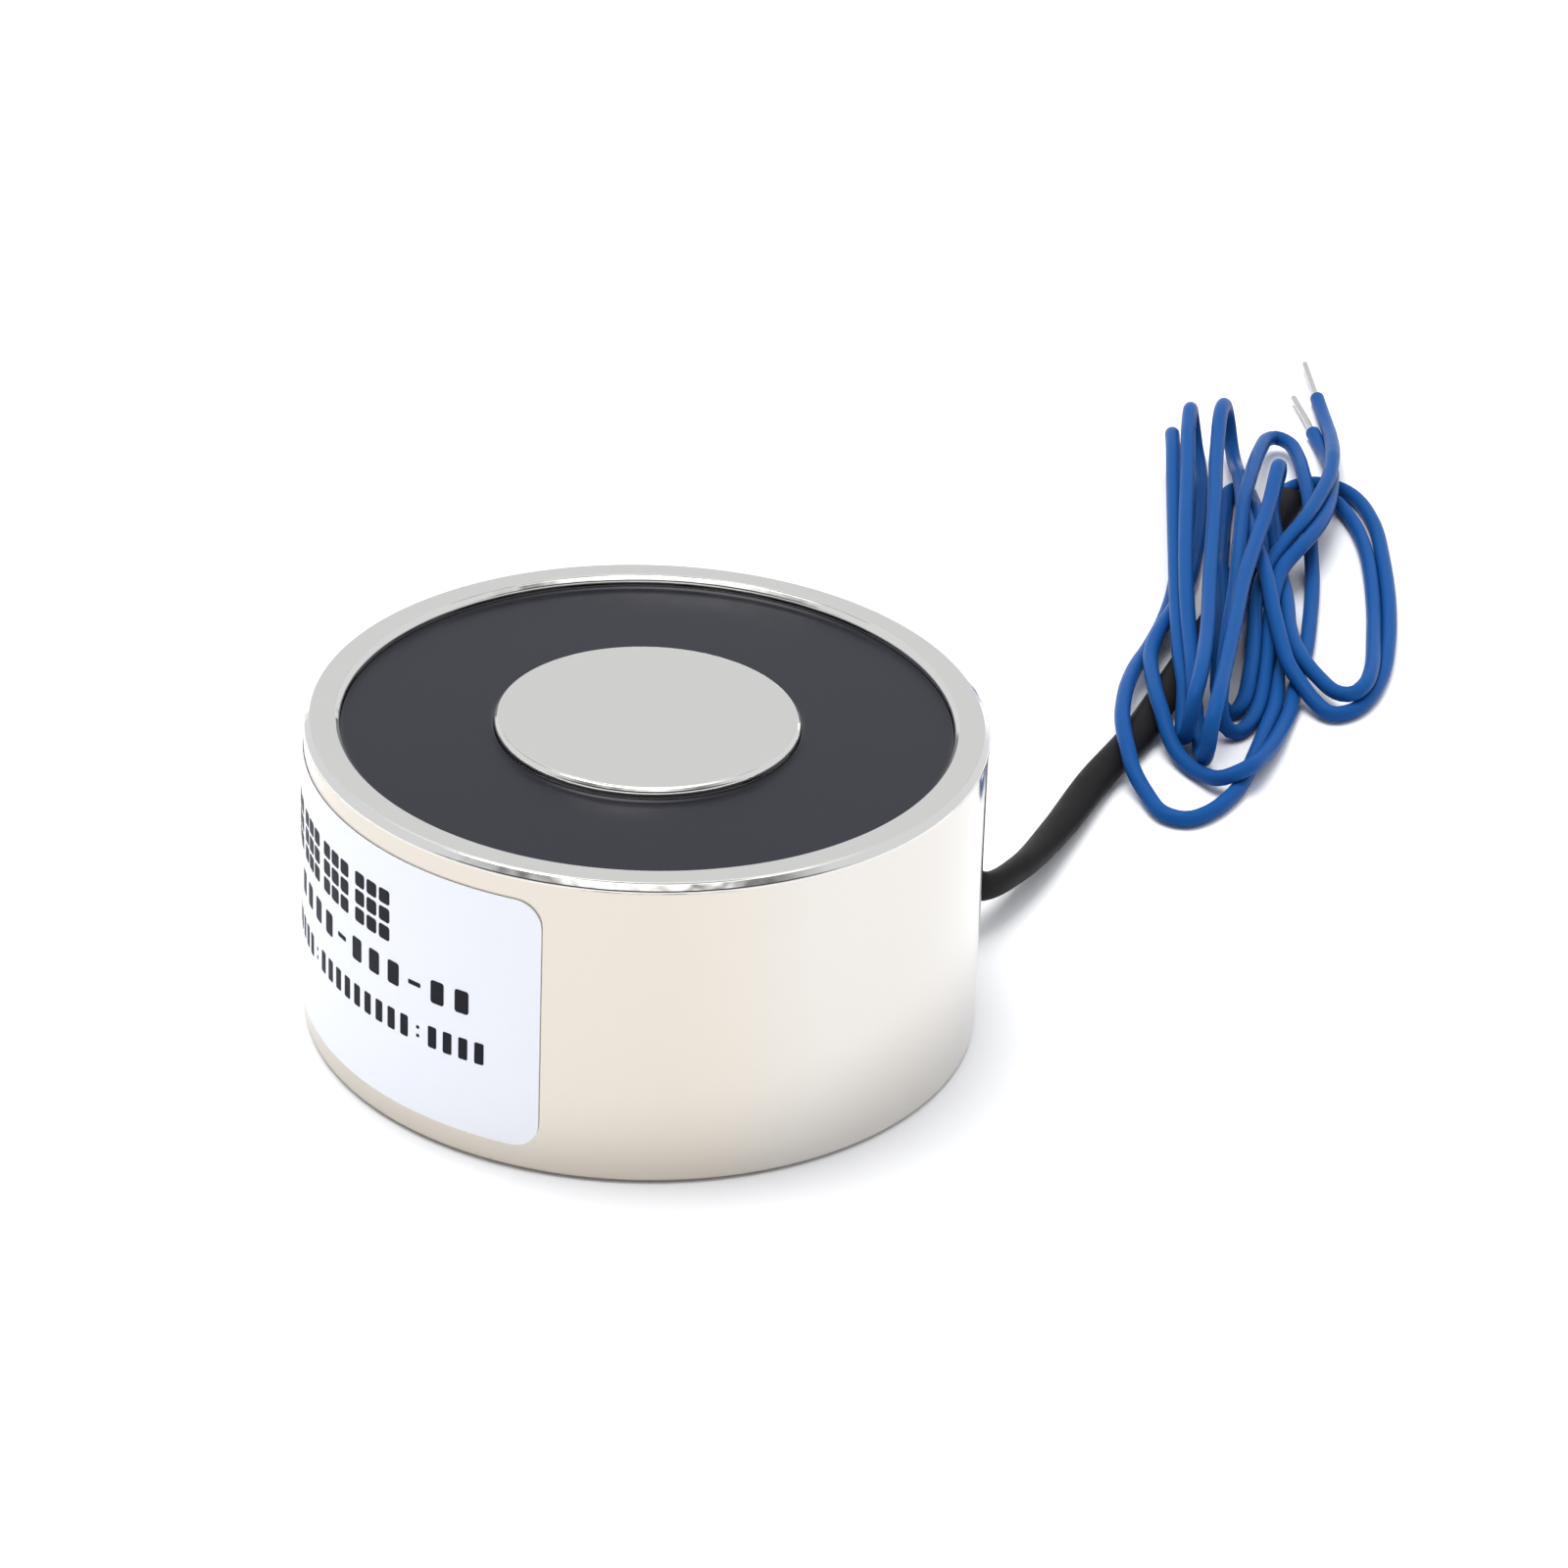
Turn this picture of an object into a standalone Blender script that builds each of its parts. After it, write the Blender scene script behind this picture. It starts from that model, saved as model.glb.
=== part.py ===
"""Holding electromagnet: a potted coil in a turned steel pot, with a label and two leads.

The base stands on Z = 0 and the holding face looks up. The origin is the centre of the base.
Bearings are degrees round Z from +X towards +Y. The label faces -X and -Y, the leads leave towards +X and +Y.
"""

import math

import bmesh
import bpy
from mathutils import Matrix, Vector

MM = 0.001
TURN_STEPS = 96
FULL_TURN = 2 * math.pi
SMOOTH_ANGLE = math.radians(30)
WELD_DISTANCE = 1e-7

# Steel pot, turned from one bar with the pole in its middle
BODY_DIAMETER = 40.0 * MM
BODY_HEIGHT = 19.5 * MM
WALL_THICKNESS = 2.1 * MM
FLOOR_THICKNESS = 2.8 * MM
COIL_SPACE_WIDTH = 8.95 * MM
RIM_CHAMFER = 0.4 * MM
BORE_EDGE_BREAK = 0.12 * MM
POLE_CHAMFER = 0.25 * MM
BASE_CHAMFER = 0.3 * MM

# Tapped hole on the axis of the base, at its tap drill's size
TAP_DRILL_DIAMETER = 4.2 * MM
TAP_DRILL_DEPTH = 9.0 * MM
TAP_MOUTH_DIAMETER = 5.4 * MM
DRILL_POINT_ANGLE = math.radians(118)

# Clearances
SEAT_GAP = 0.03 * MM
POLE_CLEARANCE = 0.15 * MM
BORE_CLEARANCE = 0.7 * MM
SLEEVE_CLEARANCE = 0.3 * MM
LEAD_CLEARANCE = 0.05 * MM
FACE_GAP = 0.3 * MM

# Leads and their sleeve
LEAD_DIAMETER = 1.15 * MM
CONDUCTOR_DIAMETER = 0.45 * MM
SLEEVE_DIAMETER = 2.4 * MM

# Hole for the sleeve, low in the wall
CABLE_HOLE_DIAMETER = SLEEVE_DIAMETER + 2 * SLEEVE_CLEARANCE
CABLE_HOLE_ABOVE_FLOOR = 0.15 * MM
CABLE_HOLE_BEARING = 26.0
CABLE_HOLE_CHAMFER = 0.2 * MM

# Coil
BOBBIN_BARREL_WALL = 0.9 * MM
BOBBIN_FLANGE_THICKNESS = 0.9 * MM
LEAD_CHANNEL_WIDTH = 2.87 * MM
TAPE_THICKNESS = 0.2 * MM
TAPE_FOOT = 1.5 * MM
BOBBIN_NOTCH_WIDTH = 8.6 * MM
BOBBIN_NOTCH_CLEARANCE = 0.4 * MM

# Potting resin
POTTING_RECESS = 0.75 * MM
POTTING_COVER = 1.5 * MM
POTTING_ABOVE_SPLICES = 1.3 * MM

# Splices between the leads and the winding's tails, in the channel beside the coil.
# Their lengths and places are measured along the channel's middle, from the cable hole.
LEAD_TURN_RADIUS = 1.0 * MM
SPLICE_RISE = 2.55 * MM
SPLICE_START = 9.8 * MM
SPLICE_LENGTH = 8.7 * MM
SPLICE_TUBE_WALL = 0.3 * MM
SPLICE_TUBE_CLEARANCE = 0.075 * MM
LEAD_IN_SPLICE = 1.2 * MM
SOLDER_THICKNESS = 0.22 * MM
JOINT_LENGTH = 5.8 * MM
TAIL_DIAMETER = 0.35 * MM
TAIL_LENGTH = 7.0 * MM
TAIL_ABOVE_FLANGE = 0.8 * MM

# Label
LABEL_LENGTH = 40.0 * MM
LABEL_THICKNESS = 0.12 * MM
LABEL_CORNER_RADIUS = 1.6 * MM
LABEL_MARGIN = 1.75 * MM
LABEL_END_BEARING = 255.5
LABEL_CORNER_STEPS = 5

# Hank: a slab with round ends over the two leads' turns, given by the discs that it wraps
HANK_HEIGHT = 6.0 * MM
HANK_DISCS = (
    (34.6 * MM, 28.2 * MM, 5.2 * MM),
    (42.6 * MM, 48.0 * MM, 7.2 * MM),
    (44.0 * MM, 60.0 * MM, 5.4 * MM),
    (43.4 * MM, 76.0 * MM, 4.0 * MM),
    (38.4 * MM, 82.2 * MM, 5.0 * MM),
)
HANK_DISC_STEPS = 24

# Route of the sleeve's middle past the wall, up to its end in the hank
SLEEVE_ROUTE = (
    (20.50 * MM, 10.40 * MM, 3.55 * MM),
    (22.90 * MM, 14.70 * MM, 2.35 * MM),
    (25.45 * MM, 21.30 * MM, 1.60 * MM),
    (28.15 * MM, 28.60 * MM, 1.25 * MM),
    (30.90 * MM, 34.90 * MM, 1.25 * MM),
    (33.75 * MM, 42.70 * MM, 1.25 * MM),
    (36.80 * MM, 51.60 * MM, 1.25 * MM),
    (39.90 * MM, 61.50 * MM, 1.25 * MM),
    (42.98 * MM, 71.38 * MM, 1.25 * MM),
)
SLEEVE_STRAIGHT = 1.2 * MM
SLEEVE_TUNNEL_CLEARANCE = 0.15 * MM

# Loose lead ends that come out of the hank: from its edge to where the insulation stops
LOOSE_END_A = (
    (47.10 * MM, 79.5 * MM, 0.62 * MM),
    (46.95 * MM, 82.0 * MM, 0.62 * MM),
    (46.75 * MM, 85.5 * MM, 0.62 * MM),
    (46.30 * MM, 89.1 * MM, 0.62 * MM),
)
LOOSE_END_B = (
    (45.90 * MM, 81.0 * MM, 0.62 * MM),
    (45.72 * MM, 82.1 * MM, 0.62 * MM),
    (45.50 * MM, 83.2 * MM, 0.62 * MM),
)
STRIPPED_LENGTH = 5.8 * MM

TUBE_BEVEL_RESOLUTION = 2
DIAMETERS_PER_POINT = 2.0
SAMPLES_PER_SPAN = 24

# Places that follow from the sizes above
BODY_RADIUS = BODY_DIAMETER / 2
BORE_RADIUS = BODY_RADIUS - WALL_THICKNESS
POLE_RADIUS = BORE_RADIUS - COIL_SPACE_WIDTH
CABLE_HOLE_HEIGHT = FLOOR_THICKNESS + CABLE_HOLE_ABOVE_FLOOR + CABLE_HOLE_DIAMETER / 2
POTTING_TOP = BODY_HEIGHT - POTTING_RECESS
BOBBIN_BOTTOM = FLOOR_THICKNESS + SEAT_GAP
BOBBIN_TOP = POTTING_TOP - POTTING_COVER
BOBBIN_BORE_RADIUS = POLE_RADIUS + POLE_CLEARANCE
BARREL_RADIUS = BOBBIN_BORE_RADIUS + BOBBIN_BARREL_WALL
FLANGE_RADIUS = BORE_RADIUS - BORE_CLEARANCE
LOWER_FLANGE_TOP = BOBBIN_BOTTOM + BOBBIN_FLANGE_THICKNESS
UPPER_FLANGE_BOTTOM = BOBBIN_TOP - BOBBIN_FLANGE_THICKNESS
WINDING_RADIUS = BORE_RADIUS - LEAD_CHANNEL_WIDTH
TAPE_RADIUS = WINDING_RADIUS + SEAT_GAP + TAPE_THICKNESS
LEAD_RING_RADIUS = (TAPE_RADIUS + BORE_RADIUS) / 2
SPLICE_HEIGHT = CABLE_HOLE_HEIGHT + SPLICE_RISE
SPLICE_TUBE_BORE = LEAD_DIAMETER + 2 * SPLICE_TUBE_CLEARANCE
SPLICE_TUBE_DIAMETER = SPLICE_TUBE_BORE + 2 * SPLICE_TUBE_WALL
JOINT_DIAMETER = CONDUCTOR_DIAMETER + 2 * SOLDER_THICKNESS
NOTCH_INNER_RADIUS = LEAD_RING_RADIUS - LEAD_DIAMETER / 2 - BOBBIN_NOTCH_CLEARANCE
LABEL_HEIGHT = BODY_HEIGHT - 2 * LABEL_MARGIN
SLEEVE_INNER_END = LEAD_RING_RADIUS + LEAD_TURN_RADIUS


def around(radius, bearing, height):
    """The point at a radius from the axis, a bearing in degrees and a height."""
    angle = math.radians(bearing)
    return Vector((radius * math.cos(angle), radius * math.sin(angle), height))


def channel_bearing(distance, side):
    """The bearing at a distance along the channel's middle from the cable hole."""
    return CABLE_HOLE_BEARING + side * math.degrees(distance / LEAD_RING_RADIUS)


def finish(name, colour, roughness, metallic=0.0):
    """A plain Principled material."""
    material = bpy.data.materials.new(name)
    material.use_nodes = True
    shader = material.node_tree.nodes["Principled BSDF"]
    shader.inputs["Base Color"].default_value = (*colour, 1.0)
    shader.inputs["Roughness"].default_value = roughness
    shader.inputs["Metallic"].default_value = metallic
    return material


def clear_scene():
    """Removes every object that the scene starts with."""
    for thing in list(bpy.data.objects):
        bpy.data.objects.remove(thing, do_unlink=True)


def add_object(name, data, material):
    """A new object in the scene, with one material."""
    data.materials.append(material)
    thing = bpy.data.objects.new(name, data)
    bpy.context.scene.collection.objects.link(thing)
    return thing


def add_mesh(name, shape, material):
    """An object from a bmesh, shaded smooth with its corners kept sharp."""
    mesh = bpy.data.meshes.new(name)
    shape.to_mesh(mesh)
    shape.free()
    mesh.shade_smooth()
    mesh.set_sharp_from_angle(angle=SMOOTH_ANGLE)
    return add_object(name, mesh, material)


def turned(name, outline, material, ring=False):
    """A body turned about Z from (radius, height) corners. A ring's outline closes on itself."""
    shape = bmesh.new()
    corners = [shape.verts.new((radius, 0.0, height)) for radius, height in outline]
    edges = [shape.edges.new(pair) for pair in zip(corners, corners[1:])]
    if ring:
        edges.append(shape.edges.new((corners[-1], corners[0])))
    bmesh.ops.spin(
        shape,
        geom=corners + edges,
        cent=(0, 0, 0),
        axis=(0, 0, 1),
        angle=FULL_TURN,
        steps=TURN_STEPS,
        use_merge=True,
    )
    bmesh.ops.remove_doubles(shape, verts=shape.verts, dist=WELD_DISTANCE)
    bmesh.ops.recalc_face_normals(shape, faces=shape.faces)
    return add_mesh(name, shape, material)


def cut(body, cutter):
    """Takes the cutter away from the body, and keeps it out of the render."""
    cutter.hide_render = True
    cutter.display_type = "WIRE"
    modifier = body.modifiers.new(f"cut by {cutter.name}", "BOOLEAN")
    modifier.operation = "DIFFERENCE"
    modifier.solver = "EXACT"
    modifier.object = cutter


def smooth_route(points, spacing):
    """Points about a spacing apart, on one smooth curve through the given ones."""
    points = [Vector(point) for point in points]
    padded = [2 * points[0] - points[1], *points, 2 * points[-1] - points[-2]]
    dense = []
    for before, start, end, after in zip(padded, padded[1:], padded[2:], padded[3:]):
        for step in range(SAMPLES_PER_SPAN):
            t = step / SAMPLES_PER_SPAN
            bend = (2 * before - 5 * start + 4 * end - after) * t * t
            twist = (3 * start - before - 3 * end + after) * t * t * t
            dense.append(0.5 * (2 * start + (end - before) * t + bend + twist))
    dense.append(points[-1])
    lengths = [0.0]
    for start, end in zip(dense, dense[1:]):
        lengths.append(lengths[-1] + (end - start).length)
    count = max(2, round(lengths[-1] / spacing))
    route = []
    place = 0
    for index in range(count + 1):
        target = lengths[-1] * index / count
        while place < len(dense) - 2 and lengths[place + 1] < target:
            place += 1
        share = (target - lengths[place]) / (lengths[place + 1] - lengths[place])
        route.append(dense[place].lerp(dense[place + 1], share))
    return route


def tube(name, route, diameter, material):
    """A round tube along a route, with closed ends."""
    curve = bpy.data.curves.new(name, "CURVE")
    curve.dimensions = "3D"
    curve.bevel_depth = diameter / 2
    curve.bevel_resolution = TUBE_BEVEL_RESOLUTION
    curve.use_fill_caps = True
    spline = curve.splines.new("POLY")
    spline.points.add(len(route) - 1)
    for point, place in zip(spline.points, route):
        point.co = (*place, 1.0)
    return add_object(name, curve, material)


def channel_route(start, end, side, height, spacing):
    """Points along the channel's middle from one distance to another."""
    count = max(2, math.ceil((end - start) / spacing))
    distances = [start + (end - start) * index / count for index in range(count + 1)]
    return [around(LEAD_RING_RADIUS, channel_bearing(distance, side), height) for distance in distances]


def make_body(material):
    """The steel pot: floor, wall, pole, tapped hole and the hole for the sleeve."""
    drill_radius = TAP_DRILL_DIAMETER / 2
    mouth_radius = TAP_MOUTH_DIAMETER / 2
    drill_point = drill_radius / math.tan(DRILL_POINT_ANGLE / 2)
    outline = [
        (0.0, BODY_HEIGHT),
        (POLE_RADIUS - POLE_CHAMFER, BODY_HEIGHT),
        (POLE_RADIUS, BODY_HEIGHT - POLE_CHAMFER),
        (POLE_RADIUS, FLOOR_THICKNESS),
        (BORE_RADIUS, FLOOR_THICKNESS),
        (BORE_RADIUS, BODY_HEIGHT - BORE_EDGE_BREAK),
        (BORE_RADIUS + BORE_EDGE_BREAK, BODY_HEIGHT),
        (BODY_RADIUS - RIM_CHAMFER, BODY_HEIGHT),
        (BODY_RADIUS, BODY_HEIGHT - RIM_CHAMFER),
        (BODY_RADIUS, BASE_CHAMFER),
        (BODY_RADIUS - BASE_CHAMFER, 0.0),
        (mouth_radius, 0.0),
        (drill_radius, mouth_radius - drill_radius),
        (drill_radius, TAP_DRILL_DEPTH),
        (0.0, TAP_DRILL_DEPTH + drill_point),
    ]
    body = turned("pot_housing", outline, material)
    cut(body, make_cable_hole_cutter(material))
    return body


def make_cable_hole_cutter(material):
    """A drill through the wall, with a flare that breaks the outer edge of the hole."""
    radius = CABLE_HOLE_DIAMETER / 2
    outside = BODY_RADIUS + CABLE_HOLE_CHAMFER
    outline = [
        (0.0, outside),
        (radius + 2 * CABLE_HOLE_CHAMFER, outside),
        (radius, BODY_RADIUS - CABLE_HOLE_CHAMFER),
        (radius, BORE_RADIUS - BORE_CLEARANCE),
        (0.0, BORE_RADIUS - BORE_CLEARANCE),
    ]
    cutter = turned("cable_hole_cutter", outline, material)
    turn = Matrix.Rotation(math.radians(CABLE_HOLE_BEARING), 4, "Z")
    lay_down = Matrix.Rotation(math.pi / 2, 4, "Y")
    lift = Matrix.Translation((0, 0, CABLE_HOLE_HEIGHT))
    cutter.matrix_world = lift @ turn @ lay_down
    return cutter


def make_bobbin(material):
    """The coil's spool, with a notch in the lower flange where the leads pass."""
    outline = [
        (BOBBIN_BORE_RADIUS, BOBBIN_BOTTOM),
        (FLANGE_RADIUS, BOBBIN_BOTTOM),
        (FLANGE_RADIUS, LOWER_FLANGE_TOP),
        (BARREL_RADIUS, LOWER_FLANGE_TOP),
        (BARREL_RADIUS, UPPER_FLANGE_BOTTOM),
        (FLANGE_RADIUS, UPPER_FLANGE_BOTTOM),
        (FLANGE_RADIUS, BOBBIN_TOP),
        (BOBBIN_BORE_RADIUS, BOBBIN_TOP),
    ]
    bobbin = turned("coil_bobbin", outline, material, ring=True)
    notch = bmesh.new()
    bmesh.ops.create_cube(notch, size=1.0)
    reach = BORE_RADIUS - NOTCH_INNER_RADIUS
    size = Vector((reach, BOBBIN_NOTCH_WIDTH, 2 * BOBBIN_FLANGE_THICKNESS))
    bmesh.ops.scale(notch, vec=size, verts=notch.verts)
    middle = NOTCH_INNER_RADIUS + reach / 2
    bmesh.ops.translate(notch, vec=(middle, 0, BOBBIN_BOTTOM), verts=notch.verts)
    cutter = add_mesh("bobbin_notch_cutter", notch, material)
    cutter.rotation_euler.z = math.radians(CABLE_HOLE_BEARING)
    cut(bobbin, cutter)
    return bobbin


def make_winding(material):
    """The copper winding, as one ring between the flanges."""
    inner = BARREL_RADIUS + SEAT_GAP
    low = LOWER_FLANGE_TOP + SEAT_GAP
    high = UPPER_FLANGE_BOTTOM - SEAT_GAP
    outline = [(inner, low), (WINDING_RADIUS, low), (WINDING_RADIUS, high), (inner, high)]
    return turned("coil_winding", outline, material, ring=True)


def make_tape(material):
    """The tape round the winding. Its foot stays open for the winding's tails."""
    inner = WINDING_RADIUS + SEAT_GAP
    low = LOWER_FLANGE_TOP + TAPE_FOOT
    high = UPPER_FLANGE_BOTTOM - SEAT_GAP
    outline = [(inner, low), (TAPE_RADIUS, low), (TAPE_RADIUS, high), (inner, high)]
    return turned("winding_tape", outline, material, ring=True)


def make_potting(material):
    """The resin: a cover over the coil, and a skirt that ran down between the coil and the wall."""
    wall = BORE_RADIUS - SEAT_GAP
    pole = POLE_RADIUS + SEAT_GAP
    beside_flange = FLANGE_RADIUS + SEAT_GAP
    beside_tape = TAPE_RADIUS + SEAT_GAP
    under_flange = UPPER_FLANGE_BOTTOM - SEAT_GAP
    on_bobbin = BOBBIN_TOP + SEAT_GAP
    foot = SPLICE_HEIGHT + SPLICE_TUBE_DIAMETER / 2 + POTTING_ABOVE_SPLICES
    outline = [
        (pole, on_bobbin),
        (beside_flange, on_bobbin),
        (beside_flange, under_flange),
        (beside_tape, under_flange),
        (beside_tape, foot),
        (wall, foot),
        (wall, POTTING_TOP),
        (pole, POTTING_TOP),
    ]
    return turned("potting_resin", outline, material, ring=True)


def lead_inside_route(side):
    """From the sleeve's inner end round a quarter turn, then along the channel into the splice.

    side is 1 for the lead that goes round with the bearing and -1 for the other.
    """
    low = CABLE_HOLE_HEIGHT + side * (LEAD_DIAMETER + LEAD_CLEARANCE) / 2
    rise = SPLICE_HEIGHT - low
    turn_steps = 4
    rise_steps = 6
    route = []
    for step in range(turn_steps + 1):
        turn = math.pi / 2 * step / turn_steps
        radius = SLEEVE_INNER_END - LEAD_TURN_RADIUS * math.sin(turn)
        across = LEAD_TURN_RADIUS * (1 - math.cos(turn))
        route.append(around(radius, channel_bearing(across, side), low))
    for step in range(1, rise_steps + 1):
        share = step / rise_steps
        ease = share * share * (3 - 2 * share)
        distance = LEAD_TURN_RADIUS + (SPLICE_START - LEAD_TURN_RADIUS) * share
        route.append(around(LEAD_RING_RADIUS, channel_bearing(distance, side), low + rise * ease))
    stop = channel_bearing(SPLICE_START + LEAD_IN_SPLICE, side)
    route.append(around(LEAD_RING_RADIUS, stop, SPLICE_HEIGHT))
    return route


def make_splice_tube(name, side, material):
    """An insulating tube bent round the coil over one soldered splice."""
    steps = 8
    sides = 12
    shape = bmesh.new()
    out = [(SPLICE_TUBE_DIAMETER / 2, step) for step in range(steps + 1)]
    back = [(SPLICE_TUBE_BORE / 2, step) for step in reversed(range(steps + 1))]
    loops = []
    for radius, step in out + back:
        bearing = channel_bearing(SPLICE_START + SPLICE_LENGTH * step / steps, side)
        loop = []
        for index in range(sides):
            angle = FULL_TURN * index / sides
            distance = LEAD_RING_RADIUS + radius * math.cos(angle)
            loop.append(shape.verts.new(around(distance, bearing, SPLICE_HEIGHT + radius * math.sin(angle))))
        loops.append(loop)
    for first, second in zip(loops, loops[1:] + loops[:1]):
        for index in range(sides):
            following = (index + 1) % sides
            shape.faces.new((first[index], first[following], second[following], second[index]))
    bmesh.ops.recalc_face_normals(shape, faces=shape.faces)
    return add_mesh(name, shape, material)


def make_splice(letter, side, tail_name, materials):
    """One lead inside the pot, its soldered joint, the joint's tube and the winding's tail."""
    tube(f"lead_inside_{letter}", lead_inside_route(side), LEAD_DIAMETER, materials["lead"])

    joint_start = SPLICE_START + LEAD_IN_SPLICE + FACE_GAP
    joint_end = joint_start + JOINT_LENGTH
    spacing = DIAMETERS_PER_POINT * JOINT_DIAMETER
    joint = channel_route(joint_start, joint_end, side, SPLICE_HEIGHT, spacing)
    tube(f"solder_joint_{letter}", joint, JOINT_DIAMETER, materials["solder"])
    make_splice_tube(f"splice_tube_{letter}", side, materials["splice_tube"])

    tail_start = joint_end + FACE_GAP
    at_winding = WINDING_RADIUS + FACE_GAP
    on_flange = LOWER_FLANGE_TOP + TAIL_ABOVE_FLANGE
    shares = ((0, 0, 0), (0.375, 0, 0), (0.625, 0, 0.5), (0.83, 0.5, 0.88), (1, 1, 1))
    tail = []
    for along, inward, down in shares:
        radius = LEAD_RING_RADIUS + (at_winding - LEAD_RING_RADIUS) * inward
        height = SPLICE_HEIGHT + (on_flange - SPLICE_HEIGHT) * down
        tail.append(around(radius, channel_bearing(tail_start + TAIL_LENGTH * along, side), height))
    spacing = 2 * DIAMETERS_PER_POINT * TAIL_DIAMETER
    tube(tail_name, smooth_route(tail, spacing), TAIL_DIAMETER, materials["tail"])


def make_label(material):
    """The label: a flat rounded rectangle rolled onto the wall, then given its thickness."""
    shape = bmesh.new()
    half = LABEL_HEIGHT / 2
    corners = [(0, -half), (LABEL_LENGTH, -half), (LABEL_LENGTH, half), (0, half)]
    face = shape.faces.new([shape.verts.new((along, 0, up)) for along, up in corners])
    bmesh.ops.bevel(
        shape,
        geom=list(face.verts),
        offset=LABEL_CORNER_RADIUS,
        segments=LABEL_CORNER_STEPS,
        profile=0.5,
        affect="VERTICES",
    )
    facet = BODY_RADIUS * FULL_TURN / TURN_STEPS
    first = (LABEL_END_BEARING * FULL_TURN / 360 * BODY_RADIUS) % facet
    count = math.ceil((LABEL_LENGTH - first) / facet)
    for index in range(count):
        every = list(shape.verts) + list(shape.edges) + list(shape.faces)
        bmesh.ops.bisect_plane(shape, geom=every, plane_co=(first + index * facet, 0, 0), plane_no=(1, 0, 0))
    inner = BODY_RADIUS + SEAT_GAP
    middle = LABEL_MARGIN + half
    for vertex in shape.verts:
        bearing = LABEL_END_BEARING - math.degrees(vertex.co.x / BODY_RADIUS)
        vertex.co = around(inner, bearing, middle + vertex.co.z)
    skin = bmesh.ops.extrude_face_region(shape, geom=list(shape.faces))
    for part in skin["geom"]:
        if isinstance(part, bmesh.types.BMVert):
            outward = Vector((part.co.x, part.co.y, 0)).normalized()
            part.co += outward * LABEL_THICKNESS
    bmesh.ops.recalc_face_normals(shape, faces=shape.faces)
    return add_mesh("label", shape, material)


def sleeve_route():
    """The sleeve's middle line: straight out through the wall, then along the chosen points."""
    inside = around(SLEEVE_INNER_END + FACE_GAP, CABLE_HOLE_BEARING, CABLE_HOLE_HEIGHT)
    outside = around(BODY_RADIUS + SLEEVE_STRAIGHT / 2, CABLE_HOLE_BEARING, CABLE_HOLE_HEIGHT)
    points = [inside, inside.lerp(outside, 0.5), outside, *SLEEVE_ROUTE]
    return smooth_route(points, DIAMETERS_PER_POINT * SLEEVE_DIAMETER)


def wrap(points):
    """The corners of the tightest outline round points in the plane, counter-clockwise."""
    points = sorted(points)
    halves = []
    for ordered in (points, points[::-1]):
        chain = []
        for point in ordered:
            while len(chain) > 1 and turns_right(chain[-2], chain[-1], point):
                chain.pop()
            chain.append(point)
        halves += chain[:-1]
    return halves


def turns_right(start, middle, end):
    """Whether three points in the plane don't turn left."""
    across = (middle[0] - start[0]) * (end[1] - start[1]) - (middle[1] - start[1]) * (end[0] - start[0])
    return across <= 0


def make_hank(material, route):
    """The hank's outer shape, with a tunnel along its underside where the sleeve lies."""
    rims = []
    for x, y, radius in HANK_DISCS:
        for step in range(HANK_DISC_STEPS):
            angle = FULL_TURN * step / HANK_DISC_STEPS
            rims.append((x + radius * math.cos(angle), y + radius * math.sin(angle)))
    shape = bmesh.new()
    lower = shape.faces.new([shape.verts.new((x, y, 0)) for x, y in wrap(rims)])
    raised = bmesh.ops.extrude_face_region(shape, geom=[lower], use_keep_orig=True)
    upper = [part for part in raised["geom"] if isinstance(part, bmesh.types.BMVert)]
    bmesh.ops.translate(shape, vec=(0, 0, HANK_HEIGHT), verts=upper)
    bmesh.ops.recalc_face_normals(shape, faces=shape.faces)
    hank = add_mesh("wire_hank", shape, material)

    end = route[-1] + (route[-1] - route[-2]).normalized() * FACE_GAP
    width = SLEEVE_DIAMETER + 2 * SLEEVE_TUNNEL_CLEARANCE
    guide = tube("sleeve_tunnel_guide", [*route[:-1], end], width, material)
    guide.hide_render = True
    guide.display_type = "WIRE"
    bpy.context.view_layer.update()
    solid = bpy.data.meshes.new_from_object(guide.evaluated_get(bpy.context.evaluated_depsgraph_get()))
    cutter = bpy.data.objects.new("sleeve_tunnel_cutter", solid)
    bpy.context.scene.collection.objects.link(cutter)
    cut(hank, cutter)
    return hank


def make_loose_end(letter, points, materials):
    """A loose end of one lead, and the tinned conductor that its stripped insulation shows."""
    route = smooth_route(points, DIAMETERS_PER_POINT * LEAD_DIAMETER)
    tube(f"wire_end_{letter}", route, LEAD_DIAMETER, materials["lead"])
    direction = (route[-1] - route[-2]).normalized()
    start = route[-1] + direction * SEAT_GAP
    bare = [start, start + direction * STRIPPED_LENGTH / 2, start + direction * STRIPPED_LENGTH]
    tube(f"tinned_end_{letter}", bare, CONDUCTOR_DIAMETER, materials["solder"])


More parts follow.
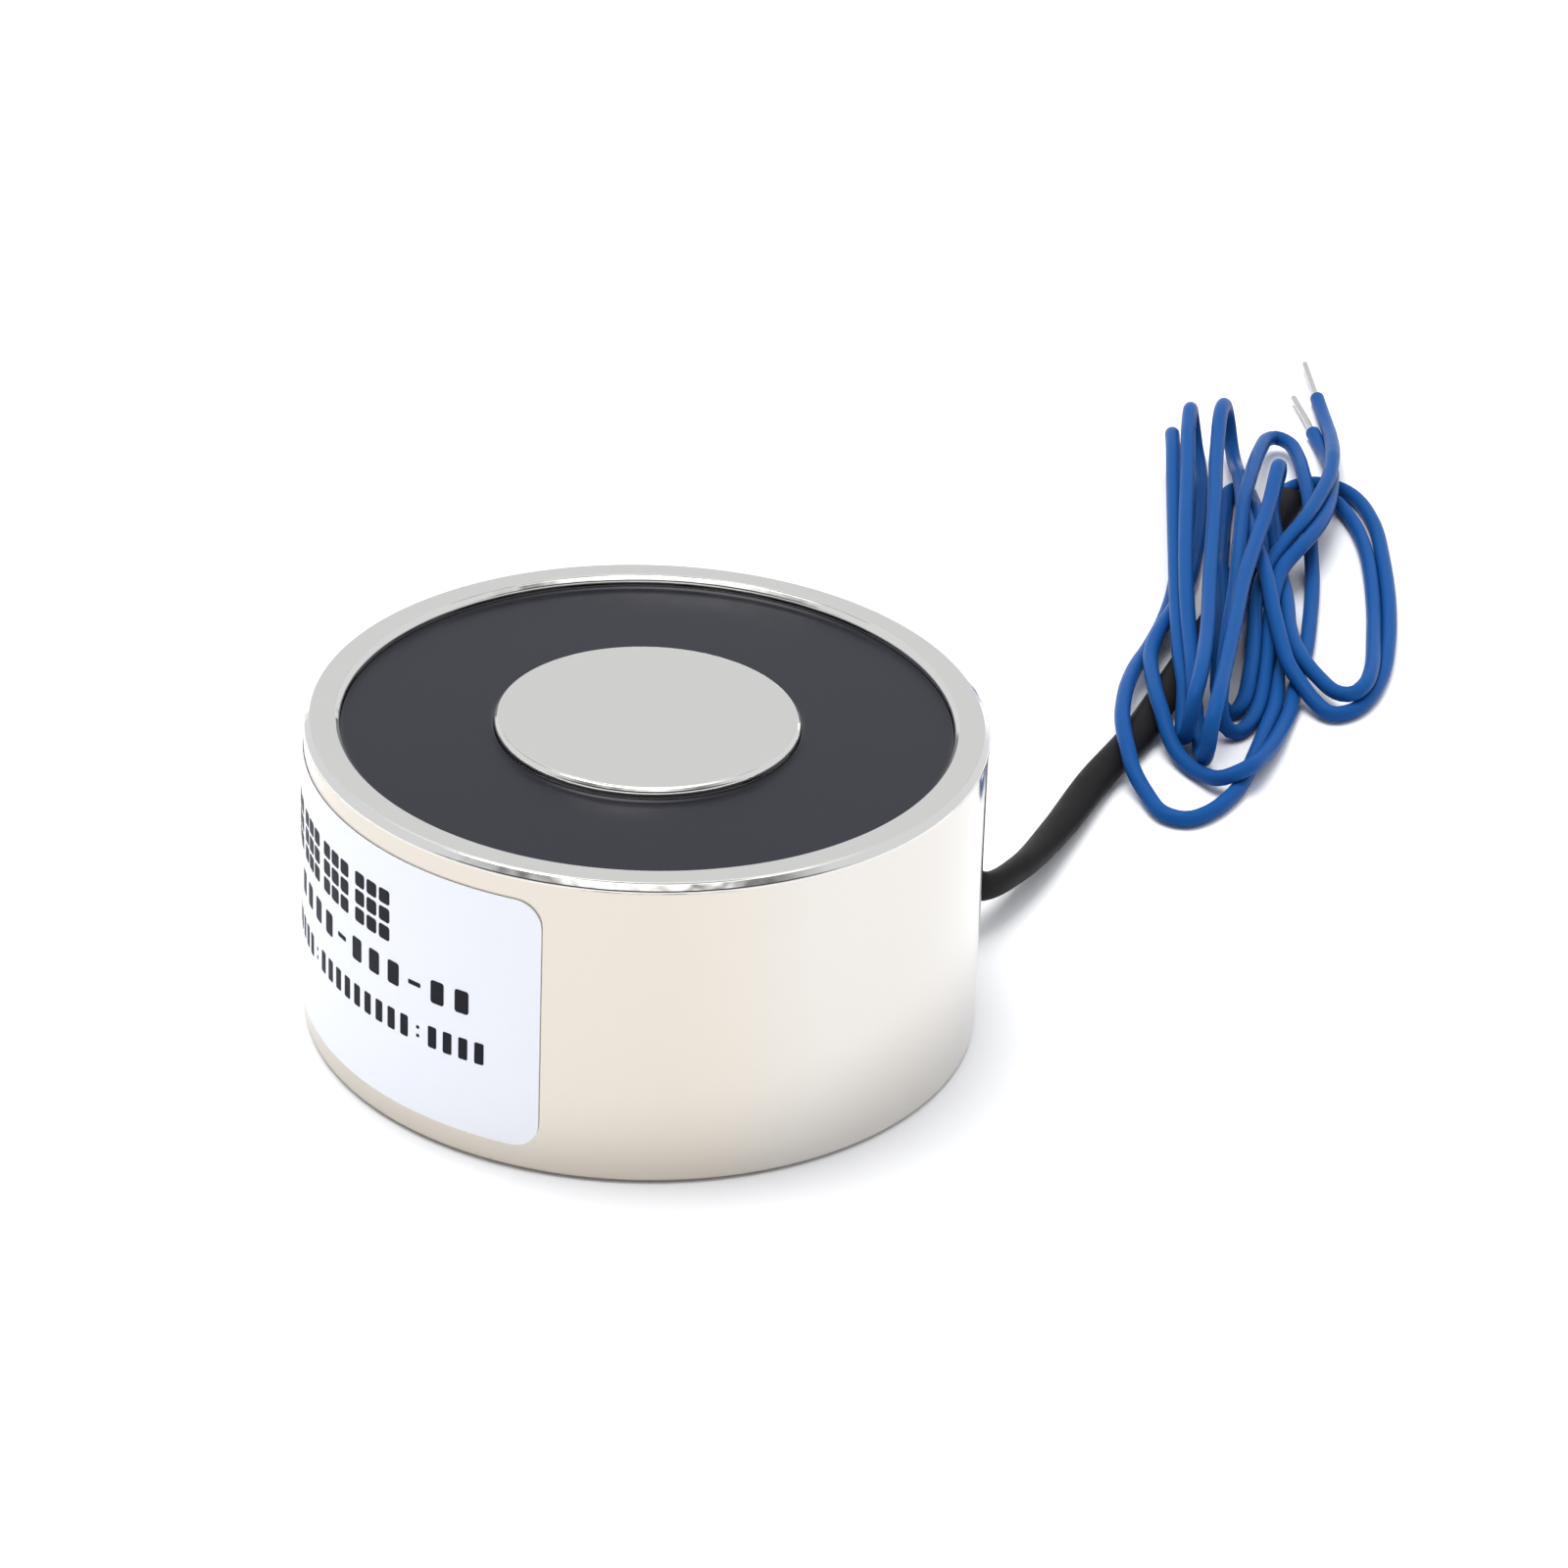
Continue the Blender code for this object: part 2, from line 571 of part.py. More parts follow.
def main():
    """Builds every piece of the magnet."""
    clear_scene()
    materials = {
        "nickel": finish("nickel_plate", (0.70, 0.67, 0.61), 0.22, 1.0),
        "resin": finish("black_resin", (0.055, 0.060, 0.072), 0.45),
        "nylon": finish("black_nylon", (0.05, 0.05, 0.05), 0.5),
        "copper": finish("enamelled_copper", (0.62, 0.25, 0.10), 0.35, 1.0),
        "tape": finish("polyester_tape", (0.75, 0.58, 0.12), 0.4),
        "lead": finish("blue_insulation", (0.010, 0.110, 0.400), 0.35),
        "solder": finish("tinned_copper", (0.72, 0.71, 0.68), 0.35, 1.0),
        "splice_tube": finish("splice_insulation", (0.85, 0.83, 0.75), 0.5),
        "tail": finish("enamelled_wire", (0.55, 0.20, 0.08), 0.3, 1.0),
        "sleeve": finish("black_sleeve", (0.020, 0.019, 0.021), 0.45),
        "label": finish("white_label", (0.86, 0.87, 0.90), 0.45),
    }
    make_body(materials["nickel"])
    make_bobbin(materials["nylon"])
    make_winding(materials["copper"])
    make_tape(materials["tape"])
    make_potting(materials["resin"])
    make_splice("a", 1, "coil_start_tail", materials)
    make_splice("b", -1, "coil_finish_tail", materials)
    make_label(materials["label"])
    route = sleeve_route()
    tube("lead_sleeve", route, SLEEVE_DIAMETER, materials["sleeve"])
    make_hank(materials["lead"], route)
    make_loose_end("a", LOOSE_END_A, materials)
    make_loose_end("b", LOOSE_END_B, materials)


main()
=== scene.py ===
"""Looks of the holding electromagnet: a potted coil in a nickel-plated steel pot, with a label and two leads.

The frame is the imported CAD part: metres, +Z up, the base's centre at the origin, the holding face on top.
Bearings are degrees round Z from +X towards +Y. Lengths are written in millimetres times MM.
"""

import logging
import math
from dataclasses import dataclass
from enum import Enum
from typing import Protocol, Sequence

import bmesh
import bpy
import numpy as np
from mathutils import Matrix, Vector


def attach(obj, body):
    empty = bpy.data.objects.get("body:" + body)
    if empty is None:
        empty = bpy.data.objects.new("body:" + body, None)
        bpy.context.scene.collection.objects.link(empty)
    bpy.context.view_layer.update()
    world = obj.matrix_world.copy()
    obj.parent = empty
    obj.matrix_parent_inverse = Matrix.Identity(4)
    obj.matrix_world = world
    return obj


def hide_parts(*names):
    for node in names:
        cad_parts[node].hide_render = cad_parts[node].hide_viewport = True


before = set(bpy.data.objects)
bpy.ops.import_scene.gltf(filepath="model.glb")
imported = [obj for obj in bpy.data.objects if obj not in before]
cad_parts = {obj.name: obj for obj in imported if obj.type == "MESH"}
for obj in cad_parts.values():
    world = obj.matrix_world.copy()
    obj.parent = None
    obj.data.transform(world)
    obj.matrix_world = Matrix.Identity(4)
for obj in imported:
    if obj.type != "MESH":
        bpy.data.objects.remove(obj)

BMesh = bmesh.types.BMesh
Material = bpy.types.Material
Node = bpy.types.Node
Object = bpy.types.Object
Socket = bpy.types.NodeSocket
Colour = tuple[float, float, float]
Point = tuple[float, float, float]
Span = tuple[float, float]
Outline = list[tuple[float, float]]

MM = 0.001
FULL_TURN = 2 * math.pi
BODY = "root"

logging.basicConfig(level=logging.INFO, format="%(levelname)s %(message)s")
log = logging.getLogger("magnet")


def around(radius: float, bearing: float, height: float) -> Vector:
    """The point at a radius from the axis, a bearing in degrees and a height."""
    angle = math.radians(bearing)
    return Vector((radius * math.cos(angle), radius * math.sin(angle), height))


def evenly_spaced(line: np.ndarray, spacing: float) -> np.ndarray:
    """The same line with its points about a spacing apart.

    Args:
        line: Points, one row each.
        spacing: The distance between the new points.

    Returns:
        The new points.
    """
    along = np.r_[0.0, np.cumsum(np.linalg.norm(np.diff(line, axis=0), axis=1))]
    count = max(2, int(round(along[-1] / spacing)))
    places = np.linspace(0.0, along[-1], count + 1)
    return np.stack([np.interp(places, along, line[:, axis]) for axis in range(3)], 1)


def smooth_line(points: Sequence[Sequence[float]], spacing: float, finer: int = 5) -> np.ndarray:
    """Evenly spaced points on one smooth curve, which doesn't swing wide where its points lie close.

    Args:
        points: The places that the curve passes through.
        spacing: The distance between the points to return.
        finer: How many times closer the curve is read before its points are spaced.

    Returns:
        An array of points, one row each.
    """
    given = np.asarray(points, float)
    padded = np.vstack([2 * given[0] - given[1], given, 2 * given[-1] - given[-2]])
    dense = []
    for a, b, c, d in zip(padded, padded[1:], padded[2:], padded[3:]):
        k1 = np.linalg.norm(b - a) ** 0.5
        k2 = k1 + np.linalg.norm(c - b) ** 0.5
        k3 = k2 + np.linalg.norm(d - c) ** 0.5
        count = max(2, int(np.linalg.norm(c - b) / spacing * finer))
        t = np.linspace(k1, k2, count, endpoint=False)[:, None]
        ab = (k1 - t) / k1 * a + t / k1 * b
        bc = (k2 - t) / (k2 - k1) * b + (t - k1) / (k2 - k1) * c
        cd = (k3 - t) / (k3 - k2) * c + (t - k2) / (k3 - k2) * d
        first = (k2 - t) / k2 * ab + t / k2 * bc
        second = (k3 - t) / (k3 - k1) * bc + (t - k1) / (k3 - k1) * cd
        dense.append((k2 - t) / (k2 - k1) * first + (t - k1) / (k2 - k1) * second)
    return evenly_spaced(np.vstack([*dense, given[-1]]), spacing)


def line_length(line: np.ndarray) -> float:
    """The length along a line of points."""
    return float(np.linalg.norm(np.diff(line, axis=0), axis=1).sum())


def directions(line: np.ndarray) -> np.ndarray:
    """The unit vector along a line at each of its points."""
    along = np.gradient(line, axis=0)
    return along / np.linalg.norm(along, axis=1)[:, None]


def blurred(shift: np.ndarray, times: int) -> np.ndarray:
    """A row of vectors, each averaged with its neighbours.

    Args:
        shift: The vectors, one row each.
        times: How many times over they are averaged.

    Returns:
        The averaged vectors.
    """
    for _ in range(times):
        ends = np.vstack([2 * shift[0] - shift[1], shift, 2 * shift[-1] - shift[-2]])
        shift = 0.25 * ends[:-2] + 0.5 * ends[1:-1] + 0.25 * ends[2:]
    return shift


def new_object(name: str, data: bpy.types.ID) -> Object:
    """Puts an object in the scene, at the origin.

    Args:
        name: The object's name.
        data: Its mesh, curve, camera or light.

    Returns:
        The object.
    """
    thing = bpy.data.objects.new(name, data)
    bpy.context.scene.collection.objects.link(thing)
    return thing


def new_mesh(name: str, shape: BMesh, sharp: float = 30.0) -> Object:
    """An object from a bmesh, shaded smooth, with its corners kept sharp.

    Args:
        name: The object's name.
        shape: The bmesh, which is freed.
        sharp: The angle in degrees above which an edge stays sharp.

    Returns:
        The object.
    """
    mesh = bpy.data.meshes.new(name)
    shape.to_mesh(mesh)
    shape.free()
    mesh.shade_smooth()
    mesh.set_sharp_from_angle(angle=math.radians(sharp))
    return new_object(name, mesh)


def new_tube(name: str, line: np.ndarray, diameter: float) -> Object:
    """A round tube along a line, as a curve with closed ends.

    Args:
        name: The object's name.
        line: Points in metres.
        diameter: The tube's diameter in metres.

    Returns:
        The tube's object.
    """
    curve = bpy.data.curves.new(name, "CURVE")
    curve.dimensions = "3D"
    curve.bevel_depth = diameter / 2
    curve.bevel_resolution = 6
    curve.use_fill_caps = True
    spline = curve.splines.new("POLY")
    spline.points.add(len(line) - 1)
    spline.points.foreach_set("co", np.c_[line, np.ones(len(line))].ravel())
    return new_object(name, curve)


def turned(outline: Outline, steps: int, ring: bool = False) -> BMesh:
    """A body turned about Z.

    Args:
        outline: (radius, height) points.
        steps: The number of faces round the axis.
        ring: Whether the outline closes on itself.

    Returns:
        The turned bmesh.
    """
    shape = bmesh.new()
    points = [shape.verts.new((radius, 0.0, height)) for radius, height in outline]
    edges = [shape.edges.new(pair) for pair in zip(points, points[1:])]
    if ring:
        edges.append(shape.edges.new((points[-1], points[0])))
    bmesh.ops.spin(
        shape,
        geom=points + edges,
        cent=(0, 0, 0),
        axis=(0, 0, 1),
        angle=FULL_TURN,
        steps=steps,
        use_merge=True,
    )
    bmesh.ops.remove_doubles(shape, verts=shape.verts, dist=1e-7)
    bmesh.ops.recalc_face_normals(shape, faces=shape.faces)
    return shape


def filleted(corners: Sequence[Point], steps: int = 5, support: float = 0.01 * MM) -> Outline:
    """An open outline with its corners rounded.

    Args:
        corners: Each corner's radius from the axis, its height and its fillet.
        steps: The number of chords in a fillet.
        support: How far past a fillet an extra point keeps the flat beside it flat.

    Returns:
        The outline's points.
    """
    points = []
    for index, (x, y, fillet) in enumerate(corners):
        if fillet == 0:
            points.append((x, y))
            continue
        here = Vector((x, y))
        before = (Vector(corners[index - 1][:2]) - here).normalized()
        after = (Vector(corners[index + 1][:2]) - here).normalized()
        reach = fillet / math.tan(before.angle(after) / 2)
        start, end = here + before * reach, here + after * reach
        points.append(tuple(start + before * support))
        for step in range(steps + 1):
            t = step / steps
            points.append(tuple((1 - t) ** 2 * start + 2 * t * (1 - t) * here + t * t * end))
        points.append(tuple(end + after * support))
    return points


def finish_piece(piece: Object, material: Material, slot: str, *nodes: str) -> Object:
    """Dresses a piece, lets it ride on the magnet and hides the CAD nodes that it stands for.

    Args:
        piece: The piece, with its shape made.
        material: Its material.
        slot: The slot that the material belongs to; not used.
        nodes: The nodes that the piece replaces.

    Returns:
        The piece.
    """
    piece.data.materials.append(material)
    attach(piece, BODY)
    if nodes:
        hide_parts(*nodes)
    return piece


@dataclass(frozen=True)
class View:
    """The camera's place and lens, read off the photograph's perspective. Its angles are degrees."""

    position: Point = (8.08 * MM, -290.33 * MM, 174.99 * MM)
    down: float = 28.81
    roll: float = 2.33
    lens: float = 129.9
    sensor: float = 36.0
    nearest: float = 10 * MM
    farthest: float = 10.0

    def build(self) -> Object:
        """Adds the camera to the scene.

        Returns:
            The camera's object.
        """
        tilt = math.radians(self.down)
        turn = math.radians(self.roll)
        forward = Vector((0.0, math.cos(tilt), -math.sin(tilt)))
        level = Vector((1.0, 0.0, 0.0))
        upright = Vector((0.0, math.sin(tilt), math.cos(tilt)))
        right = level * math.cos(turn) + upright * math.sin(turn)
        up = upright * math.cos(turn) - level * math.sin(turn)
        axes = Matrix((right, up, -forward)).transposed().to_4x4()
        data = bpy.data.cameras.new("camera")
        data.sensor_width = self.sensor
        data.lens = self.lens
        data.clip_start = self.nearest
        data.clip_end = self.farthest
        camera = new_object("camera", data)
        camera.matrix_world = Matrix.Translation(self.position) @ axes
        bpy.context.scene.camera = camera
        return camera


class Easing(Enum):
    """How a ramp runs between its ends."""

    STRAIGHT = "LINEAR"
    SOFT = "SMOOTHSTEP"


class Tree:
    """A short way to write a node tree."""

    def __init__(self, tree: bpy.types.NodeTree) -> None:
        """Keeps the tree whose nodes are made."""
        self.tree = tree

    def node(self, kind: str, values: dict | None = None, **settings: object) -> Node:
        """Adds a node.

        Args:
            kind: The node's type, without ShaderNode.
            values: Input names with a number, a colour or a socket to join.
            settings: The node's own settings.

        Returns:
            The node.
        """
        node = self.tree.nodes.new(f"ShaderNode{kind}")
        for name, value in settings.items():
            setattr(node, name, value)
        for name, value in (values or {}).items():
            self.feed(node.inputs[name], value)
        return node

    def feed(self, socket: Socket, value: object) -> None:
        """Joins a socket to another, or sets its value.

        Args:
            socket: The input to feed.
            value: The output to join, or a number, a vector or a colour.
        """
        if isinstance(value, Socket):
            self.tree.links.new(value, socket)
        elif isinstance(value, tuple) and len(value) == 3 and socket.type == "RGBA":
            socket.default_value = (*value, 1.0)
        else:
            socket.default_value = value

    def place(self) -> Socket:
        """The place on the object, in its own coordinates."""
        return self.node("TexCoord").outputs["Object"]

    def axes(self, vector: Socket) -> bpy.types.NodeOutputs:
        """A vector's X, Y and Z."""
        return self.node("SeparateXYZ", {"Vector": vector}).outputs

    def noise(self, vector: Socket, scale: float | Socket, detail: float = 2.0) -> Socket:
        """A cloudy value from 0 to 1."""
        return self.node("TexNoise", {"Vector": vector, "Scale": scale, "Detail": detail}).outputs["Fac"]

    def maths(self, operation: str, *values: object) -> Socket:
        """Adds a Math node.

        Args:
            operation: What it does.
            values: The numbers or sockets that it takes.

        Returns:
            Its result.
        """
        node = self.node("Math", operation=operation)
        for socket, value in zip(node.inputs, values):
            self.feed(socket, value)
        return node.outputs["Value"]

    def product(self, one: Socket, other: object) -> Socket:
        """The product of two values."""
        return self.maths("MULTIPLY", one, other)

    def ramp(
        self,
        value: Socket,
        span: Span,
        result: tuple[float | Socket, float | Socket] = (0.0, 1.0),
        easing: Easing = Easing.SOFT,
    ) -> Socket:
        """A value carried from one span into another, and held at both ends.

        Args:
            value: The value.
            span: Where it starts and stops to count.
            result: What it becomes there, as numbers or sockets.
            easing: How it runs between.

        Returns:
            The new value.
        """
        limits = {"Value": value}
        for name, ends in (("From", span), ("To", result)):
            limits[f"{name} Min"], limits[f"{name} Max"] = ends
        return self.node("MapRange", limits, interpolation_type=easing.value).outputs["Result"]

    def blend(self, share: Socket, first: object, second: object) -> Socket:
        """A colour between two.

        Args:
            share: How much of the second it takes.
            first: The colour at 0.
            second: The colour at 1.

        Returns:
            The blended colour.
        """
        node = self.node("Mix", data_type="RGBA")
        self.feed(node.inputs["Factor"], share)
        self.feed(node.inputs[6], first)
        self.feed(node.inputs[7], second)
        return node.outputs[2]


class Effects:
    """The shader effects that several finishes share, each made once as a node group."""

    def __init__(self) -> None:
        """Makes the node groups."""
        self.speckle_group = self.make_speckle()

    def make_speckle(self) -> bpy.types.NodeTree:
        """Makes the speckle: cloudy unevenness between two values, on the object's own coordinates.

        Returns:
            The node group.
        """
        group = bpy.data.node_groups.new("Speckle", "ShaderNodeTree")
        for key in ("Scale", "Low", "High"):
            group.interface.new_socket(key, in_out="INPUT", socket_type="NodeSocketFloat")
        group.interface.new_socket("Value", in_out="OUTPUT", socket_type="NodeSocketFloat")
        tree = Tree(group)
        given = group.nodes.new("NodeGroupInput").outputs
        cloud = tree.noise(tree.place(), given["Scale"], 4.0)
        uneven = tree.ramp(cloud, (0.3, 0.7), (given["Low"], given["High"]), Easing.STRAIGHT)
        tree.feed(group.nodes.new("NodeGroupOutput").inputs["Value"], uneven)
        return group

    def speckle(self, tree: Tree, scale: float, span: Span) -> Socket:
        """Places the speckle in a material, with its own scale and span of values."""
        values = {"Scale": scale, "Low": span[0], "High": span[1]}
        return tree.node("Group", values, node_tree=self.speckle_group).outputs["Value"]


class Part(Protocol):
    """A sub-assembly of the magnet."""

    def build(self, effects: Effects) -> list[Object]:
        """Adds its pieces, dresses them and returns them."""


def principled(name: str, colour: Colour, metallic: float, gloss: float) -> tuple[Material, Tree, Node]:
    """Starts a material.

    Args:
        name: The material's name.
        colour: Its base colour.
        metallic: 1 for a metal, and 0 for anything else.
        gloss: Its specular level.

    Returns:
        The material, its tree and its Principled node.
    """
    material = bpy.data.materials.new(name)
    material.use_nodes = True
    shader = material.node_tree.nodes["Principled BSDF"]
    shader.inputs["Base Color"].default_value = (*colour, 1.0)
    shader.inputs["Metallic"].default_value = metallic
    shader.inputs["Specular IOR Level"].default_value = gloss
    return material, Tree(material.node_tree), shader


@dataclass(frozen=True)
class Satin:
    """A finish of one colour, whose roughness varies a little between two values."""

    name: str
    colour: Colour
    roughness: Span
    metallic: float = 0.0
    gloss: float = 0.5
    grain: float = 500.0

    def build(self, effects: Effects) -> Material:
        """Makes the material.

        Args:
            effects: The shared effects.

        Returns:
            The material.
        """
        material, tree, shader = principled(self.name, self.colour, self.metallic, self.gloss)
        tree.feed(shader.inputs["Roughness"], effects.speckle(tree, self.grain, self.roughness))
        return material


@dataclass(frozen=True)
class PouredResin:
    """Black potting resin, poured and left to set, so that its surface isn't quite flat."""

    name: str = "resin_look"
    colour: Colour = (0.0075, 0.008, 0.014)
    gloss: float = 0.19
    grain: float = 200.0
    roughness: Span = (0.275, 0.29)
    wave_scale: float = 220.0
    wave_strength: float = 0.08
    wave_height: float = 0.1 * MM

    def build(self, effects: Effects) -> Material:
        """Makes the material.

        Args:
            effects: The shared effects.

        Returns:
            The material.
        """
        material, tree, shader = principled(self.name, self.colour, 0.0, self.gloss)
        tree.feed(shader.inputs["Roughness"], effects.speckle(tree, self.grain, self.roughness))
        waves = tree.noise(tree.place(), self.wave_scale, 1.0)
        bump = {"Height": waves, "Strength": self.wave_strength, "Distance": self.wave_height}
        tree.feed(shader.inputs["Normal"], tree.node("Bump", bump).outputs["Normal"])
        return material


@dataclass(frozen=True)
class NickelPlate:
    """Nickel plate: polished on the turned wall, ground and duller on the flat faces.

    The wall's warm tint fades from one side to the other, with a cloudy border. The outer edge is painted
    paler, as a painted highlight on the chamfer; the edge starts at one height and the face at another. The
    edge is wavy in patches, and the lathe has left fine rings.
    """

    name: str = "nickel_look"
    warm_wall: Colour = (0.60, 0.55, 0.475)
    pale_wall: Colour = (0.63, 0.605, 0.565)
    # Painted highlight: the chamfer's colour is paler and more neutral than the wall's, so that the edge
    # looks brighter lit.
    edge: Colour = (0.71, 0.70, 0.665)
    face: Colour = (0.635, 0.625, 0.59)
    edge_height: Span = (18.95 * MM, 19.1 * MM)
    face_height: Span = (19.44 * MM, 19.49 * MM)
    fade: Span = (2 * MM, 13 * MM)
    cloud_scale: float = 160.0
    cloud_reach: float = 4 * MM
    wall_grain: float = 260.0
    wall_roughness: Span = (0.09, 0.14)
    face_grain: float = 400.0
    face_roughness: Span = (0.25, 0.265)
    wave_scale: float = 420.0
    wave_height: float = 2.0
    patch_scale: float = 90.0
    patch_span: Span = (0.42, 0.62)
    patch_share: Span = (0.25, 1.0)
    ring_scale: float = 9000.0
    ring_height: float = 0.005
    bump_height: float = 0.06 * MM

    def build(self, effects: Effects) -> Material:
        """Makes the material.

        Args:
            effects: The shared effects.

        Returns:
            The material.
        """
        material, tree, shader = principled(self.name, self.warm_wall, 1.0, 0.5)
        place = tree.place()
        axes = tree.axes(place)
        face = tree.ramp(axes["Z"], self.face_height)
        edge = tree.ramp(axes["Z"], self.edge_height)
        tree.feed(shader.inputs["Base Color"], self.tint(tree, place, edge, face))
        wall = effects.speckle(tree, self.wall_grain, self.wall_roughness)
        ground = effects.speckle(tree, self.face_grain, self.face_roughness)
        duller = tree.product(face, tree.maths("SUBTRACT", ground, wall))
        tree.feed(shader.inputs["Roughness"], tree.maths("ADD", wall, duller))
        relief = tree.maths("ADD", self.rings(tree, axes), self.waves(tree, place, edge, face))
        bump = {"Height": relief, "Strength": 1.0, "Distance": self.bump_height}
        tree.feed(shader.inputs["Normal"], tree.node("Bump", bump).outputs["Normal"])
        return material

    def tint(self, tree: Tree, place: Socket, edge: Socket, face: Socket) -> Socket:
        """The plate's colour: the wall's tint, paler on the edge as a painted highlight, and greyer on the
        face.

        Args:
            tree: The material's tree.
            place: The place on the object.
            edge: 1 above the edge's foot, and 0 below it.
            face: 1 on the face, and 0 below it.

        Returns:
            The colour.
        """
        cloud = tree.maths("SUBTRACT", tree.noise(place, self.cloud_scale, 4.0), 0.5)
        border = tree.maths("ADD", tree.axes(place)["X"], tree.product(cloud, self.cloud_reach))
        wall = tree.blend(tree.ramp(border, self.fade), self.warm_wall, self.pale_wall)
        # The edge's paler colour is a painted highlight on the chamfer.
        return tree.blend(face, tree.blend(edge, wall, self.edge), self.face)

    def rings(self, tree: Tree, axes: bpy.types.NodeOutputs) -> Socket:
        """The rings left by a lathe: a height that changes with the distance from the axis.

        Args:
            tree: The material's tree.
            axes: X, Y and Z on the object.

        Returns:
            The height.
        """
        squares = [tree.maths("POWER", axes[axis], 2.0) for axis in "XY"]
        far = tree.maths("SQRT", tree.maths("ADD", *squares))
        values = {"W": tree.product(far, self.ring_scale), "Detail": 2.0}
        rings = tree.node("TexNoise", values, noise_dimensions="1D")
        return tree.product(rings.outputs["Fac"], self.ring_height)

    def waves(self, tree: Tree, place: Socket, edge: Socket, face: Socket) -> Socket:
        """The wavy patches on the edge.

        Args:
            tree: The material's tree.
            place: The place on the object.
            edge: 1 above the edge's foot, and 0 below it.
            face: 1 on the face, and 0 below it.

        Returns:
            The height.
        """
        patchy = tree.ramp(tree.noise(place, self.patch_scale), self.patch_span, self.patch_share)
        on_edge = tree.product(patchy, tree.product(edge, tree.maths("SUBTRACT", 1.0, face)))
        return tree.product(tree.noise(place, self.wave_scale), tree.product(on_edge, self.wave_height))


@dataclass(frozen=True)
class Pot:
    """The turned steel pot with its pole, its thread and the hole for the sleeve.

    Angles are degrees. The thread's start and its ridge's half widths are shares of its pitch. The ridge
    bites into the steel, so that no gap shows, and the thread stops short of the hole's end by some turns.
    """

    body_radius: float = 20.0 * MM
    height: float = 19.5 * MM
    bore_radius: float = 17.9 * MM
    pole_radius: float = 8.95 * MM
    floor: float = 2.8 * MM
    rim_chamfer: float = 0.4 * MM
    bore_break: float = 0.3 * MM
    pole_chamfer: float = 0.25 * MM
    base_chamfer: float = 0.3 * MM
    corner: float = 0.25 * MM
    hole_radius: float = 1.5 * MM
    hole_height: float = 4.45 * MM
    hole_bearing: float = 26.0
    hole_break: float = 0.2 * MM
    hole_reach: float = 0.7 * MM
    thread_major: float = 2.5 * MM
    thread_minor: float = 2.1 * MM
    thread_pitch: float = 0.8 * MM
    thread_depth: float = 9.0 * MM
    thread_mouth: float = 2.7 * MM
    thread_start: float = 0.75
    turns_short: int = 2
    ridge_bite: float = 0.02 * MM
    ridge_foot: float = 0.44
    ridge_crest: float = 0.06
    drill_angle: float = 59.0
    sharp: float = 25.0
    steps: int = 256
    hole_steps: int = 96
    thread_steps: int = 48
    plating: NickelPlate = NickelPlate()

    def build(self, effects: Effects) -> list[Object]:
        """Adds the pot in place of the CAD pot, and its thread.

        Args:
            effects: The shared effects.

        Returns:
            The pot and the thread.
        """
        body = new_mesh("pot", turned(self.outline(), self.steps), self.sharp)
        self.drill(body)
        self.smooth_wall(body.data)
        return self.dress(body, self.build_thread(), effects)

    def dress(self, body: Object, thread: Object, effects: Effects) -> list[Object]:
        """Plates the pot and its thread.

        Args:
            body: The drilled pot.
            thread: The ridge of its thread.
            effects: The shared effects.

        Returns:
            The pot and the thread.
        """
        plating = self.plating.build(effects)
        return [
            finish_piece(body, plating, "nickel_plate", "pot_housing"),
            finish_piece(thread, plating, "nickel_plate"),
        ]

    def outline(self) -> Outline:
        """The pot's section, from the middle of the pole's face round to the tapped hole's point.

        Returns:
            Points, each a radius and a height.
        """
        soft = self.corner
        point = self.thread_minor / math.tan(math.radians(self.drill_angle))
        corners = [
            (0.0, self.height, 0),
            (self.pole_radius - self.pole_chamfer, self.height, soft),
            (self.pole_radius, self.height - self.pole_chamfer, soft),
            (self.pole_radius, self.floor, 0),
            (self.bore_radius, self.floor, 0),
            (self.bore_radius, self.height - self.bore_break, soft),
            (self.bore_radius + self.bore_break, self.height, soft),
            (self.body_radius - self.rim_chamfer, self.height, soft),
            (self.body_radius, self.height - self.rim_chamfer, soft),
            (self.body_radius, self.base_chamfer, soft),
            (self.body_radius - self.base_chamfer, 0.0, soft),
            (self.thread_mouth, 0.0, 0),
            (self.thread_major, self.thread_mouth - self.thread_major, 0),
            (self.thread_major, self.thread_depth, 0),
            (self.thread_minor, self.thread_depth, 0),
            (0.0, self.thread_depth + point, 0),
        ]
        return filleted(corners)

    def drill(self, body: Object) -> None:
        """Cuts the hole for the sleeve through the wall, with its outer edge broken.

        Args:
            body: The turned pot.
        """
        outside = self.body_radius + self.hole_break
        inside = self.bore_radius - self.hole_reach
        outline = [
            (0.0, outside),
            (self.hole_radius + 2 * self.hole_break, outside),
            (self.hole_radius, self.body_radius - self.hole_break),
            (self.hole_radius, inside),
            (0.0, inside),
        ]
        cutter = new_mesh("hole_cutter", turned(outline, self.hole_steps))
        turn = Matrix.Rotation(math.radians(self.hole_bearing), 4, "Z")
        lay_down = Matrix.Rotation(math.pi / 2, 4, "Y")
        cutter.data.transform(Matrix.Translation((0, 0, self.hole_height)) @ turn @ lay_down)
        modifier = body.modifiers.new("hole", "BOOLEAN")
        modifier.operation = "DIFFERENCE"
        modifier.solver = "EXACT"
        modifier.object = cutter
        bpy.context.view_layer.update()
        cut = bpy.data.meshes.new_from_object(body.evaluated_get(bpy.context.evaluated_depsgraph_get()))
        body.modifiers.clear()
        body.data = cut
        cut.name = "pot"
        bpy.data.objects.remove(cutter)

